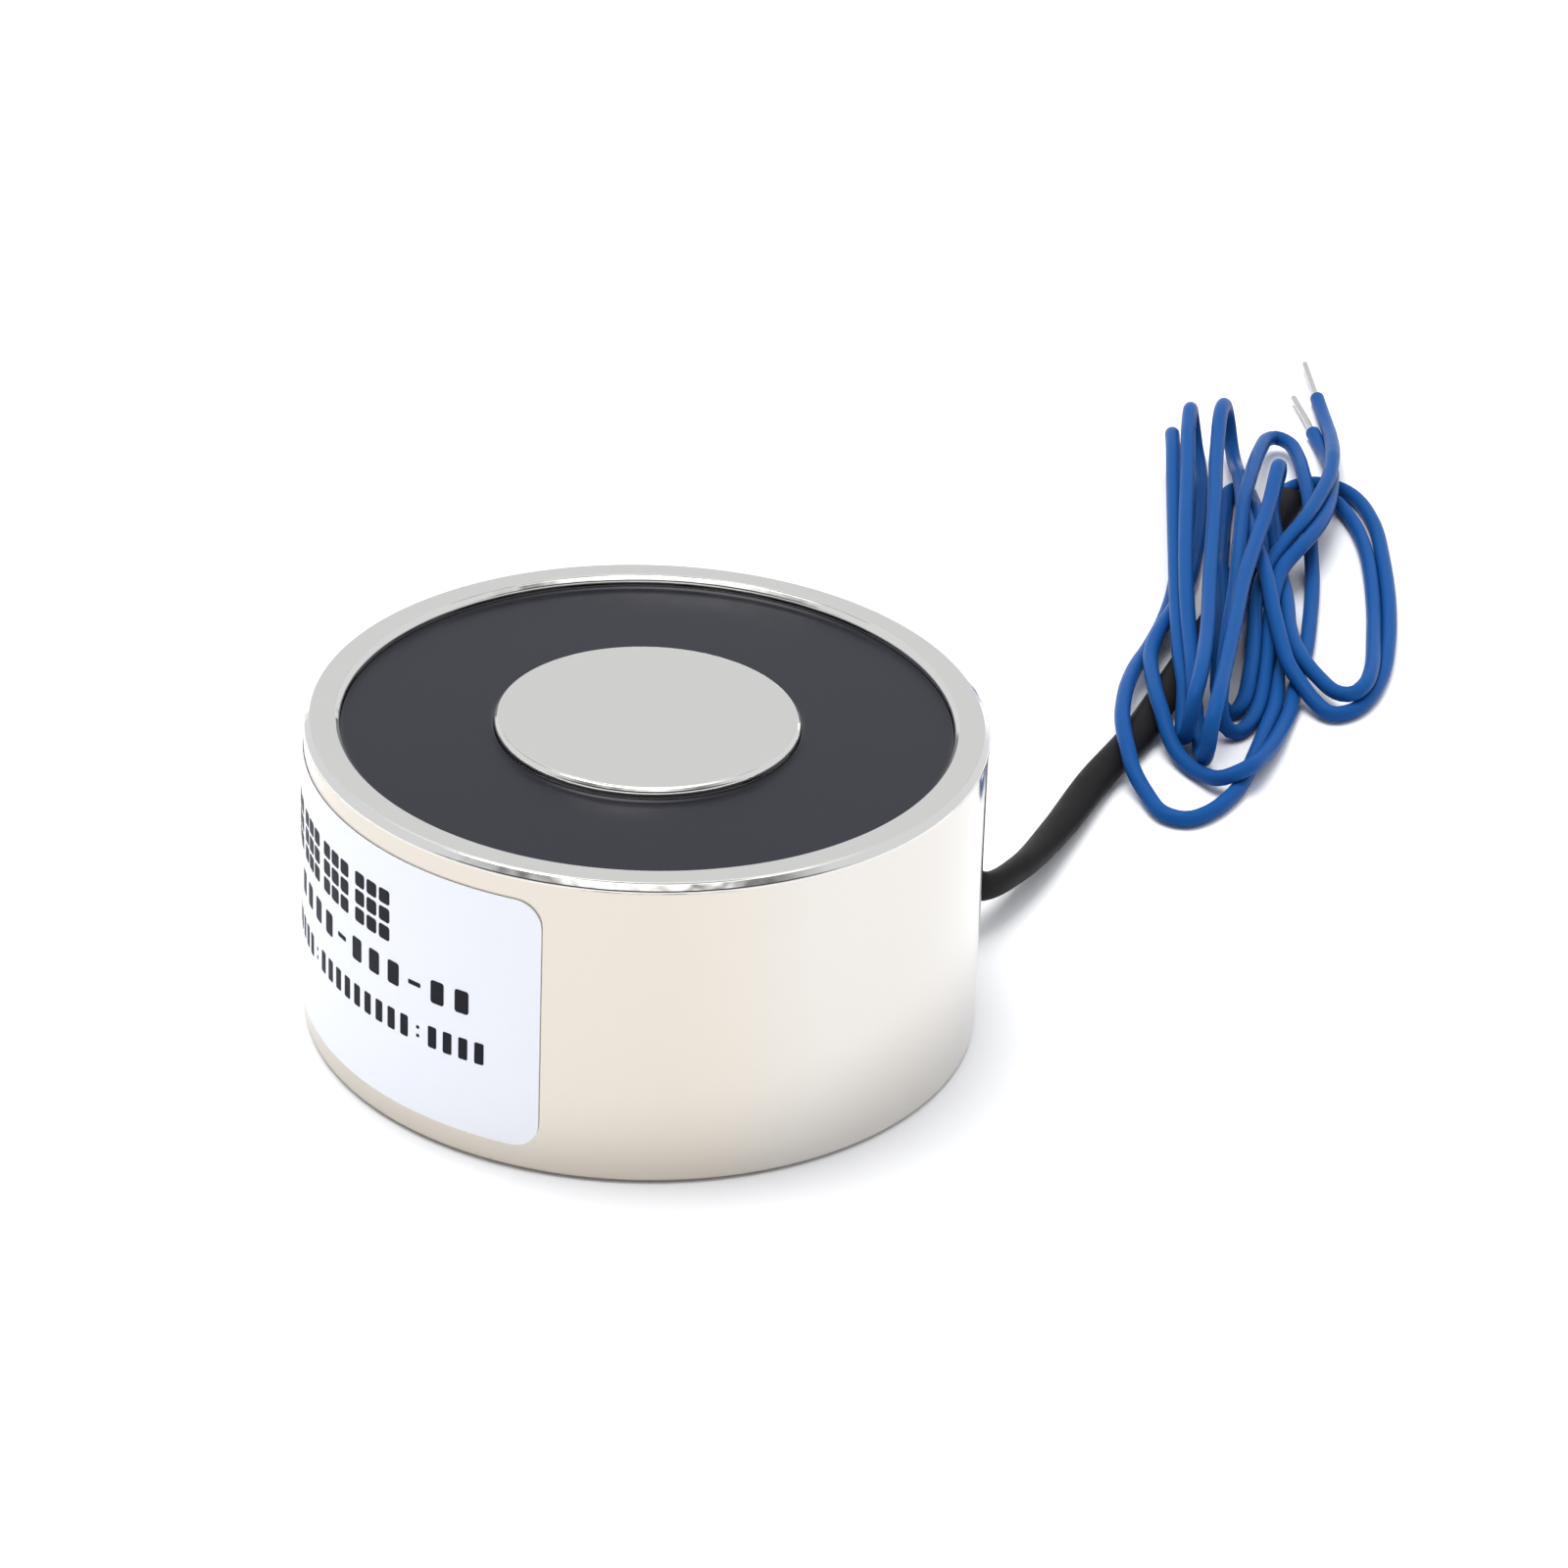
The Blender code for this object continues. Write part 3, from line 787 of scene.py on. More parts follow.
    def smooth_wall(self, mesh: bpy.types.Mesh, near: float = 0.99, upright: float = 0.999) -> None:
        """Turns the wall's corner normals straight out from the axis, so the hole leaves the wall round.

        Args:
            mesh: The drilled pot.
            near: The share of the body's radius past which a face may be the wall's.
            upright: How straight out from the axis such a face looks, as a cosine.
        """
        mesh.set_sharp_from_angle(angle=math.radians(self.sharp))
        normals = [Vector(corner.vector) for corner in mesh.corner_normals]
        for face in mesh.polygons:
            outward = Vector((face.center.x, face.center.y, 0.0))
            if outward.length < near * self.body_radius or face.normal.dot(outward.normalized()) < upright:
                continue
            for corner in face.loop_indices:
                place = mesh.vertices[mesh.loops[corner].vertex_index].co
                normals[corner] = Vector((place.x, place.y, 0.0)).normalized()
        mesh.normals_split_custom_set(normals)

    def build_thread(self) -> Object:
        """The ridge of the thread inside the tapped hole, which runs out at both ends.

        Returns:
            The thread's object.
        """
        pitch = self.thread_pitch
        turns = int(self.thread_depth / pitch) - self.turns_short
        low = self.thread_start * pitch
        high = low + turns * pitch
        root = self.thread_major + self.ridge_bite
        foot = self.ridge_foot * pitch
        crest = self.ridge_crest * pitch
        section = ((root, -foot), (self.thread_minor, -crest), (self.thread_minor, crest), (root, foot))
        shape = bmesh.new()
        corners = [shape.verts.new((radius, 0.0, low + up)) for radius, up in section]
        edges = [shape.edges.new((one, other)) for one, other in zip(corners, corners[1:] + corners[:1])]
        bmesh.ops.spin(
            shape,
            geom=corners + edges,
            cent=(0, 0, 0),
            axis=(0, 0, 1),
            dvec=(0, 0, pitch / self.thread_steps),
            angle=FULL_TURN * turns,
            steps=self.thread_steps * turns,
            use_merge=False,
        )
        ends = [edge for edge in shape.edges if edge.is_boundary]
        bmesh.ops.holes_fill(shape, edges=ends, sides=len(section))
        for corner in shape.verts:
            fade = min(1.0, max(0.0, min(corner.co.z - low, high - corner.co.z) / pitch))
            tip = self.thread_major - (self.thread_major - self.thread_minor) * fade
            far = corner.co.xy.length
            if far < tip:
                corner.co.xy *= tip / far
        bmesh.ops.recalc_face_normals(shape, faces=shape.faces)
        return new_mesh("base_thread", shape)


@dataclass(frozen=True)
class Resin:
    """The potting resin, with a meniscus where it met the pole and the wall."""

    pot: Pot
    gap: float = 0.03 * MM
    recess: float = 0.75 * MM
    cover: float = 1.5 * MM
    flange_radius: float = 17.2 * MM
    flange_thickness: float = 0.9 * MM
    tape_radius: float = 15.26 * MM
    foot: float = 9.28 * MM
    climb: float = 0.12 * MM
    climb_width: float = 0.4 * MM
    climb_power: int = 3
    rows: int = 40
    steps: int = 192
    sharp: float = 40.0
    finish: PouredResin = PouredResin()

    def build(self, effects: Effects) -> list[Object]:
        """Adds the resin in place of the CAD resin.

        Args:
            effects: The shared effects.

        Returns:
            The resin.
        """
        ring = new_mesh("resin", turned(self.outline(), self.steps, ring=True), self.sharp)
        return [self.dress(ring, effects)]

    def dress(self, ring: Object, effects: Effects) -> Object:
        """Gives the resin its finish."""
        return finish_piece(ring, self.finish.build(effects), "black_resin", "potting_resin")

    def outline(self) -> Outline:
        """The resin's section, round the bobbin's flange and the tape.

        Returns:
            Points, each a radius and a height.
        """
        wall = self.pot.bore_radius - self.gap
        pole = self.pot.pole_radius + self.gap
        top = self.pot.height - self.recess
        on_bobbin = top - self.cover + self.gap
        under_flange = on_bobbin - 2 * self.gap - self.flange_thickness
        points = [
            (pole, on_bobbin),
            (self.flange_radius + self.gap, on_bobbin),
            (self.flange_radius + self.gap, under_flange),
            (self.tape_radius + self.gap, under_flange),
            (self.tape_radius + self.gap, self.foot),
            (wall, self.foot),
        ]
        for row in range(self.rows + 1):
            radius = wall + (pole - wall) * (1 - math.cos(math.pi * row / self.rows)) / 2
            near = min(wall - radius, radius - pole)
            rise = self.climb * max(0.0, 1 - near / self.climb_width) ** self.climb_power
            points.append((radius, top + rise))
        return points


class Mark(Enum):
    """A generic shape that stands for one sign in a printed row."""

    BLOCK = "an upright block"
    FIELD = "nine small squares"
    DASH = "a short level bar"
    DOTS = "two dots, one over the other"


@dataclass(frozen=True)
class PrintRow:
    """A row of shapes: where it starts from the label's right end, its foot's height and its cells."""

    start: float
    foot: float
    height: float
    width: float
    pitch: float
    marks: tuple[Mark, ...]


@dataclass(frozen=True)
class Patch:
    """A rectangle on the unrolled wall, along it from the label's end and up or down from its middle."""

    left: float
    right: float
    low: float
    high: float


@dataclass(frozen=True)
class Label:
    """The white label, rolled onto the wall, with rows of plain blocks as its print.

    The print's own shapes are given in shares of a mark's width or height, and angles are degrees.
    """

    pot: Pot
    length: float = 40.0 * MM
    margin: float = 1.75 * MM
    thickness: float = 0.12 * MM
    corner: float = 1.6 * MM
    corner_steps: int = 8
    end_bearing: float = 255.5
    facet: float = 1.5
    lift: float = 0.03 * MM
    ink_thickness: float = 0.012 * MM
    ink_corner: float = 0.2
    dash_half: float = 0.1
    dot_half: float = 0.18
    dot_offset: float = 0.2
    field_cells: int = 3
    field_gap: float = 0.1
    sharp: float = 40.0
    rows: tuple[PrintRow, ...] = (
        PrintRow(
            start=10.0 * MM,
            foot=12.0 * MM,
            height=3.5 * MM,
            width=3.4 * MM,
            pitch=3.9 * MM,
            marks=(Mark.FIELD,) * 4,
        ),
        PrintRow(
            start=4.35 * MM,
            foot=9.5 * MM,
            height=1.5 * MM,
            width=0.92 * MM,
            pitch=1.66 * MM,
            marks=(Mark.BLOCK,) * 2 + (Mark.DASH,) + (Mark.BLOCK,) * 3 + (Mark.DASH,) + (Mark.BLOCK,) * 4,
        ),
        PrintRow(
            start=3.35 * MM,
            foot=6.5 * MM,
            height=1.4 * MM,
            width=0.6 * MM,
            pitch=1.05 * MM,
            marks=(Mark.BLOCK,) * 4 + (Mark.DOTS,) + (Mark.BLOCK,) * 9 + (Mark.DOTS,) + (Mark.BLOCK,) * 5,
        ),
    )
    paper: Satin = Satin("label_look", (0.81, 0.825, 0.87), (0.4, 0.5), gloss=0.2)
    ink: Satin = Satin("ink_look", (0.012, 0.012, 0.018), (0.5, 0.6), gloss=0.1)

    def build(self, effects: Effects) -> list[Object]:
        """Adds the label in place of the CAD label, and the print on it.

        Args:
            effects: The shared effects.

        Returns:
            The label and its print.
        """
        half = self.pot.height / 2 - self.margin
        sheet = self.rolled(Patch(0.0, self.length, -half, half), self.corner, self.lift, self.thickness)
        label = new_mesh("label_sheet", sheet, self.sharp)
        marks = bmesh.new()
        for row in self.rows:
            for index, mark in enumerate(row.marks):
                for patch in self.patches(row, index, mark):
                    self.print_patch(marks, patch)
        return self.dress(label, new_mesh("label_print", marks, self.sharp), effects)

    def dress(self, label: Object, marks: Object, effects: Effects) -> list[Object]:
        """Gives the label its paper and the print its ink.

        Args:
            label: The label.
            marks: The print.
            effects: The shared effects.

        Returns:
            The label and its print.
        """
        return [
            finish_piece(label, self.paper.build(effects), "white_label", "label"),
            finish_piece(marks, self.ink.build(effects), "white_label"),
        ]

    def patches(self, row: PrintRow, index: int, mark: Mark) -> list[Patch]:
        """The rectangles that make one mark.

        Args:
            row: The mark's row.
            index: Its place in the row.
            mark: Which mark it is.

        Returns:
            The rectangles.
        """
        left = row.start + index * row.pitch
        right = left + row.width
        low = row.foot - self.pot.height / 2
        high = low + row.height
        middle = (left + right) / 2
        level = (low + high) / 2
        if mark is Mark.BLOCK:
            return [Patch(left, right, low, high)]
        if mark is Mark.DASH:
            half = row.height * self.dash_half
            return [Patch(left, right, level - half, level + half)]
        if mark is Mark.DOTS:
            half = row.width * self.dot_half
            pair = (level - row.height * self.dot_offset, level + row.height * self.dot_offset)
            return [Patch(middle - half, middle + half, up - half, up + half) for up in pair]
        across = row.width / self.field_cells
        up = row.height / self.field_cells
        ends = [(cell + self.field_gap, cell + 1 - self.field_gap) for cell in range(self.field_cells)]
        return [
            Patch(left + x0 * across, left + x1 * across, low + z0 * up, low + z1 * up)
            for x0, x1 in ends
            for z0, z1 in ends
        ]

    def print_patch(self, marks: BMesh, patch: Patch) -> None:
        """Adds one rectangle with soft corners to the print.

        Args:
            marks: The print.
            patch: The rectangle.
        """
        corner = self.ink_corner * min(patch.right - patch.left, patch.high - patch.low)
        shape = self.rolled(patch, corner, self.lift + self.thickness, self.ink_thickness)
        piece = bpy.data.meshes.new("patch")
        shape.to_mesh(piece)
        shape.free()
        marks.from_mesh(piece)
        bpy.data.meshes.remove(piece)

    def rolled(self, patch: Patch, corner: float, lift: float, thickness: float) -> BMesh:
        """A flat rounded rectangle rolled onto the wall, then given its thickness.

        Args:
            patch: The rectangle.
            corner: The radius of its corners.
            lift: Its inner face's distance from the wall.
            thickness: Its thickness.

        Returns:
            The rolled bmesh.
        """
        shape = bmesh.new()
        ends = (
            (patch.left, patch.low),
            (patch.right, patch.low),
            (patch.right, patch.high),
            (patch.left, patch.high),
        )
        face = shape.faces.new([shape.verts.new((along, 0, up)) for along, up in ends])
        bmesh.ops.bevel(
            shape,
            geom=list(face.verts),
            offset=corner,
            segments=self.corner_steps,
            profile=0.5,
            affect="VERTICES",
            material=-1,
        )
        facet = self.pot.body_radius * math.radians(self.facet)
        for index in range(math.ceil(patch.left / facet), math.floor(patch.right / facet) + 1):
            every = list(shape.verts) + list(shape.edges) + list(shape.faces)
            bmesh.ops.bisect_plane(shape, geom=every, plane_co=(index * facet, 0, 0), plane_no=(1, 0, 0))
        for vertex in shape.verts:
            bearing = self.end_bearing - math.degrees(vertex.co.x / self.pot.body_radius)
            vertex.co = around(self.pot.body_radius + lift, bearing, self.pot.height / 2 + vertex.co.z)
        skin = bmesh.ops.extrude_face_region(shape, geom=list(shape.faces))
        for part in skin["geom"]:
            if isinstance(part, bmesh.types.BMVert):
                part.co += Vector((part.co.x, part.co.y, 0)).normalized() * thickness
        bmesh.ops.recalc_face_normals(shape, faces=shape.faces)
        return shape


@dataclass(frozen=True)
class Route:
    """One lead past the sleeve: its letter, the nodes that it replaces and its points in millimetres."""

    letter: str
    nodes: tuple[str, ...]
    points: tuple[Point, ...]


@dataclass(frozen=True)
class Strand:
    """One lead as it is drawn: its insulated part, its stripped tip and the length of the first."""

    lead: Object
    tip: Object
    length: float


# Middle of the flat sleeve past the wall, in millimetres
SLEEVE_POINTS = (
    (20.4, 10.4, 3.0), (22.9, 14.8, 1.95), (25.45, 21.4, 1.15), (28.1, 28.7, 0.86), (30.9, 34.9, 0.83),
    (33.75, 42.7, 0.83), (36.8, 51.6, 0.83), (39.9, 61.5, 0.83), (42.98, 71.38, 0.83),
)

ROUTES = (
    Route(
        letter="a",
        nodes=("wire_end_a", "wire_hank"),
        points=(
            # Out of the sleeve
            (42.4, 71.6, 0.8), (43.2, 73.2, 0.8), (44.5, 74.1, 0.9), (46.2, 74.3, 0.8),
            # First turn, back to the pot and out again
            (47.7, 72.7, 0.7), (48.8, 68.3, 0.6), (49.0, 62.5, 0.6), (48.9, 56.0, 0.6), (48.4, 50.1, 0.6),
            (47.6, 45.4, 0.6), (46.5, 42.0, 0.6), (45.2, 40.0, 0.6), (43.8, 39.3, 0.7), (42.8, 40.3, 0.9),
            (41.9, 41.7, 1.4), (41.2, 43.3, 2.0), (40.8, 46.0, 2.6), (40.5, 49.4, 3.2), (40.3, 53.8, 3.6),
            (40.0, 59.4, 3.4), (39.8, 66.3, 2.4), (39.7, 72.5, 1.3), (39.5, 77.2, 0.7), (39.3, 79.2, 1.3),
            (39.0, 79.9, 2.9),
            # Second turn, back to the pot and out again
            (38.6, 79.1, 4.5), (38.2, 77.1, 5.1), (37.5, 69.7, 5.1), (36.9, 60.2, 5.1), (36.2, 51.1, 5.1),
            (35.6, 42.4, 5.1), (34.8, 35.7, 5.1), (34.4, 33.8, 4.5), (34.2, 33.4, 2.9), (34.0, 34.2, 1.3),
            (33.9, 36.0, 0.7), (33.8, 39.5, 1.3), (33.8, 44.1, 2.3), (34.0, 51.0, 3.2), (34.2, 58.8, 3.8),
            (34.4, 66.5, 4.2), (34.6, 72.4, 4.3), (34.7, 75.4, 3.8), (34.9, 76.3, 2.4),
            # Third turn, back to the pot and out again
            (35.1, 75.6, 1.1), (35.2, 73.7, 0.6), (35.3, 69.3, 0.6), (35.1, 63.1, 0.6), (34.5, 57.0, 0.6),
            (33.5, 52.2, 0.6), (32.3, 48.0, 0.8), (31.0, 43.1, 1.6), (30.1, 38.2, 2.1), (29.7, 33.7, 2.0),
            (30.0, 29.9, 1.2), (31.1, 27.2, 0.6), (32.2, 24.9, 0.6), (33.6, 24.4, 0.6), (35.2, 25.6, 0.6),
            (37.0, 28.8, 0.6), (38.4, 33.3, 0.6), (39.4, 38.1, 0.6), (40.3, 43.7, 0.6), (40.7, 49.1, 0.8),
            (40.8, 53.7, 1.4), (40.6, 57.3, 2.2), (40.6, 63.0, 2.0), (40.5, 69.7, 1.0), (39.9, 73.2, 0.6),
            # Fourth turn, back to the pot and out to the loose end
            (39.0, 72.8, 0.6), (38.4, 68.8, 0.6), (37.9, 61.3, 1.2), (37.5, 53.5, 2.1), (37.1, 47.5, 2.2),
            (36.8, 43.2, 1.8), (36.8, 41.1, 1.1), (37.2, 39.5, 0.7), (37.9, 39.0, 0.6), (38.7, 39.9, 1.0),
            (39.1, 42.8, 1.8), (39.5, 47.7, 2.2), (39.9, 52.8, 2.2), (40.8, 56.9, 2.4), (42.0, 59.6, 3.0),
            (43.4, 62.5, 3.3), (44.7, 66.3, 3.1), (45.8, 71.1, 2.8), (46.3, 76.2, 2.3), (46.4, 81.4, 1.4),
            (46.3, 85.9, 0.8), (46.1, 89.2, 0.6), (45.9, 91.3, 0.6), (45.6, 95.0, 0.6),
        ),
    ),
    Route(
        letter="b",
        nodes=("wire_end_b",),
        points=(
            # Out of the sleeve
            (43.4, 70.9, 0.8), (44.1, 72.0, 0.8), (45.2, 72.2, 0.8),
            # First turn, back to the pot and out again
            (46.3, 71.5, 0.7), (47.3, 68.8, 0.6), (48.0, 63.9, 0.6), (48.0, 56.7, 0.6), (47.6, 50.3, 1.0),
            (47.0, 44.5, 1.6), (46.2, 41.6, 1.8), (45.2, 40.4, 1.8), (44.3, 40.9, 1.7), (43.3, 42.9, 1.7),
            (42.2, 45.5, 2.0), (41.6, 48.9, 2.2), (41.5, 53.3, 2.3), (41.2, 58.4, 2.3), (41.1, 62.7, 2.1),
            (41.1, 66.2, 2.2), (41.4, 68.1, 3.0), (41.8, 68.9, 4.2),
            # Second turn, back to the pot and out again
            (41.7, 68.4, 5.0), (40.7, 61.8, 5.1), (39.5, 55.9, 5.1), (38.4, 50.2, 5.1), (37.5, 44.0, 5.1),
            (36.6, 38.0, 5.1), (35.7, 32.5, 5.1), (35.3, 30.9, 4.5), (35.1, 30.6, 2.9), (34.9, 31.5, 1.3),
            (34.7, 33.1, 0.7), (34.5, 35.8, 1.4), (34.4, 38.7, 2.6), (34.5, 44.2, 3.4), (34.6, 51.1, 4.3),
            (34.9, 58.9, 4.9), (35.4, 67.9, 5.1), (35.7, 74.0, 5.1), (36.1, 78.2, 4.5), (36.4, 79.0, 2.9),
            # Third turn, back to the pot and out again
            (36.7, 78.3, 1.3), (36.9, 76.5, 0.6), (36.8, 71.8, 0.6), (36.4, 66.3, 0.6), (35.7, 61.2, 0.8),
            (34.8, 55.7, 1.4), (33.7, 51.1, 1.9), (32.7, 47.6, 2.1), (32.1, 44.4, 2.1), (32.1, 40.7, 2.2),
            (32.4, 37.0, 2.1), (33.0, 34.6, 1.4), (33.9, 32.3, 0.7), (35.1, 30.4, 0.6), (36.4, 28.8, 1.0),
            (37.7, 29.1, 1.5), (39.3, 32.8, 1.2), (40.7, 38.3, 0.7), (41.7, 42.9, 0.6), (42.7, 47.8, 0.6),
            (43.4, 53.3, 0.6), (43.9, 58.9, 0.8), (44.0, 63.5, 1.4), (44.1, 68.0, 2.0), (44.0, 73.4, 1.8),
            (43.9, 77.2, 1.5), (43.5, 79.6, 1.4), (42.7, 80.6, 1.4),
            # Fourth turn, back to the pot and out to the loose end
            (41.9, 79.7, 1.7), (41.3, 77.2, 2.3), (40.4, 72.2, 3.1), (39.3, 64.8, 3.9), (38.6, 58.0, 4.0),
            (37.9, 50.7, 3.9), (37.0, 43.7, 3.8), (36.6, 39.0, 3.3), (36.5, 36.7, 2.2), (36.9, 36.0, 1.1),
            (37.7, 36.2, 0.6), (38.7, 37.7, 0.6), (39.6, 40.7, 0.9), (40.0, 44.8, 1.5), (40.3, 49.6, 2.0),
            (40.8, 54.1, 2.2), (41.6, 57.1, 2.6), (42.8, 59.3, 3.1), (44.1, 62.7, 3.1), (45.2, 67.5, 2.6),
            (45.9, 72.5, 1.7), (46.1, 77.0, 1.1), (45.9, 80.6, 0.7), (45.4, 83.5, 0.6), (45.2, 84.7, 0.6),
            (44.4, 88.9, 0.6),
        ),
    ),
)


@dataclass(frozen=True)
class Settling:
    """Pushes crossing leads apart until they lie on one another, and keeps their shapes.

    Lengths are in millimetres. Each lead moves by a smooth shift from its drawn line, while its thickness
    grows from a share of its diameter to the whole. In a round it is pushed off what it touches in a few
    passes, then its shift is blurred, springs back by a share, and sinks. The last rounds only part and blur.
    """

    diameter: float
    spacing: float
    rounds: int
    last_share: float = 0.15
    passes: int = 3
    last_passes: int = 4
    first_size: float = 0.3
    growing_share: float = 0.6
    clearance: float = 0.03
    own_stretch: float = 2.6
    held_points: int = 8
    sink: float = 0.004
    spring: float = 0.01
    blur: int = 6
    last_blur: int = 1
    search_every: int = 4
    search_reach: float = 0.6
    push: float = 0.4
    crowding: float = 0.45
    floor: float = 0.535
    sleeve_reach: float = 1.3
    sleeve_size: float = 0.6
    sleeve_top: float = 2.6
    sleeve_push: float = 0.6
    shortest: float = 1e-3

    def settle(self, lines: list[np.ndarray], sleeve: np.ndarray) -> list[np.ndarray]:
        """Moves the leads' points.

        Args:
            lines: The leads' drawn lines, evenly spaced, starting at the sleeve's end.
            sleeve: Points along the two leads inside the sleeve, which don't move.

        Returns:
            The settled lines, with as many points each.
        """
        drawn = np.vstack(lines)
        place = drawn.copy()
        counts = [len(line) for line in lines]
        starts = np.cumsum([0, *counts])
        owner = np.repeat(np.arange(len(lines)), counts)
        index = np.concatenate([np.arange(count) for count in counts])
        skip = int(round(self.own_stretch / self.spacing))
        beside = (owner[:, None] == owner[None, :]) & (np.abs(index[:, None] - index[None, :]) < skip)
        pairs = np.triu(~beside, 1)
        leaving = index < self.held_points
        growth = 1 - self.first_size
        for turn in range(self.rounds):
            late = turn > self.rounds * (1 - self.last_share)
            grown = min(1.0, self.first_size + growth * turn / (self.rounds * self.growing_share))
            limit = (self.diameter + self.clearance) * grown
            if turn % self.search_every == 0:
                square = (place**2).sum(1)
                apart = square[:, None] + square[None, :] - 2 * place @ place.T
                one, other = np.where(pairs & (apart < (self.diameter + self.search_reach) ** 2))
            for _ in range(self.last_passes if late else self.passes):
                self.part(place, one, other, limit)
                self.lift_off_sleeve(place, sleeve, leaving, max(grown, self.sleeve_size))
                place[:, 2] = np.maximum(place[:, 2], self.floor)
            for start, end in zip(starts, starts[1:]):
                shift = blurred(place[start:end] - drawn[start:end], self.last_blur if late else self.blur)
                if not late:
                    hold = np.clip(np.arange(end - start) / self.held_points, 0, 1)[:, None]
                    shift = shift * hold * (1 - self.spring)
                    shift[:, 2] -= self.sink
                place[start:end] = drawn[start:end] + shift
        return [place[start:end] for start, end in zip(starts, starts[1:])]

    def part(self, place: np.ndarray, one: np.ndarray, other: np.ndarray, limit: float) -> None:
        """Moves the two points of each pair apart where they are too near.

        Args:
            place: All points, which are moved.
            one: The first point of each pair.
            other: The second point of each pair.
            limit: The distance that two points keep.
        """
        gap = place[other] - place[one]
        length = np.sqrt((gap * gap).sum(1))
        near = length < limit
        if not near.any():
            return
        first, second, size = one[near], other[near], len(place)
        short = (limit - length[near]) / np.maximum(length[near], self.shortest)
        push = gap[near] * (short * self.push)[:, None]
        moves = [np.bincount(second, axis, size) - np.bincount(first, axis, size) for axis in push.T]
        count = np.bincount(first, minlength=size) + np.bincount(second, minlength=size)
        place += np.stack(moves, 1) / np.maximum(1.0, count * self.crowding)[:, None]

    def lift_off_sleeve(
        self,
        place: np.ndarray,
        sleeve: np.ndarray,
        leaving: np.ndarray,
        grown: float,
    ) -> None:
        """Moves points out of the sleeve, except where the leads leave it.

        Args:
            place: All points, which are moved.
            sleeve: Points along the leads inside the sleeve.
            leaving: Which points lie where the leads leave the sleeve.
            grown: The share of its size that the sleeve has.
        """
        low = np.where((place[:, 2] < self.sleeve_top) & ~leaving)[0]
        away = place[low][:, None, :] - sleeve[None, :, :]
        square = (away**2).sum(-1)
        nearest = square.argmin(1)
        length = np.sqrt(square[np.arange(len(low)), nearest])
        limit = self.sleeve_reach * grown
        near = length < limit
        out = away[np.arange(len(low)), nearest][near]
        short = (limit - length[near]) / np.maximum(length[near], self.shortest)
        place[low[near]] += out * (short * self.sleeve_push)[:, None]


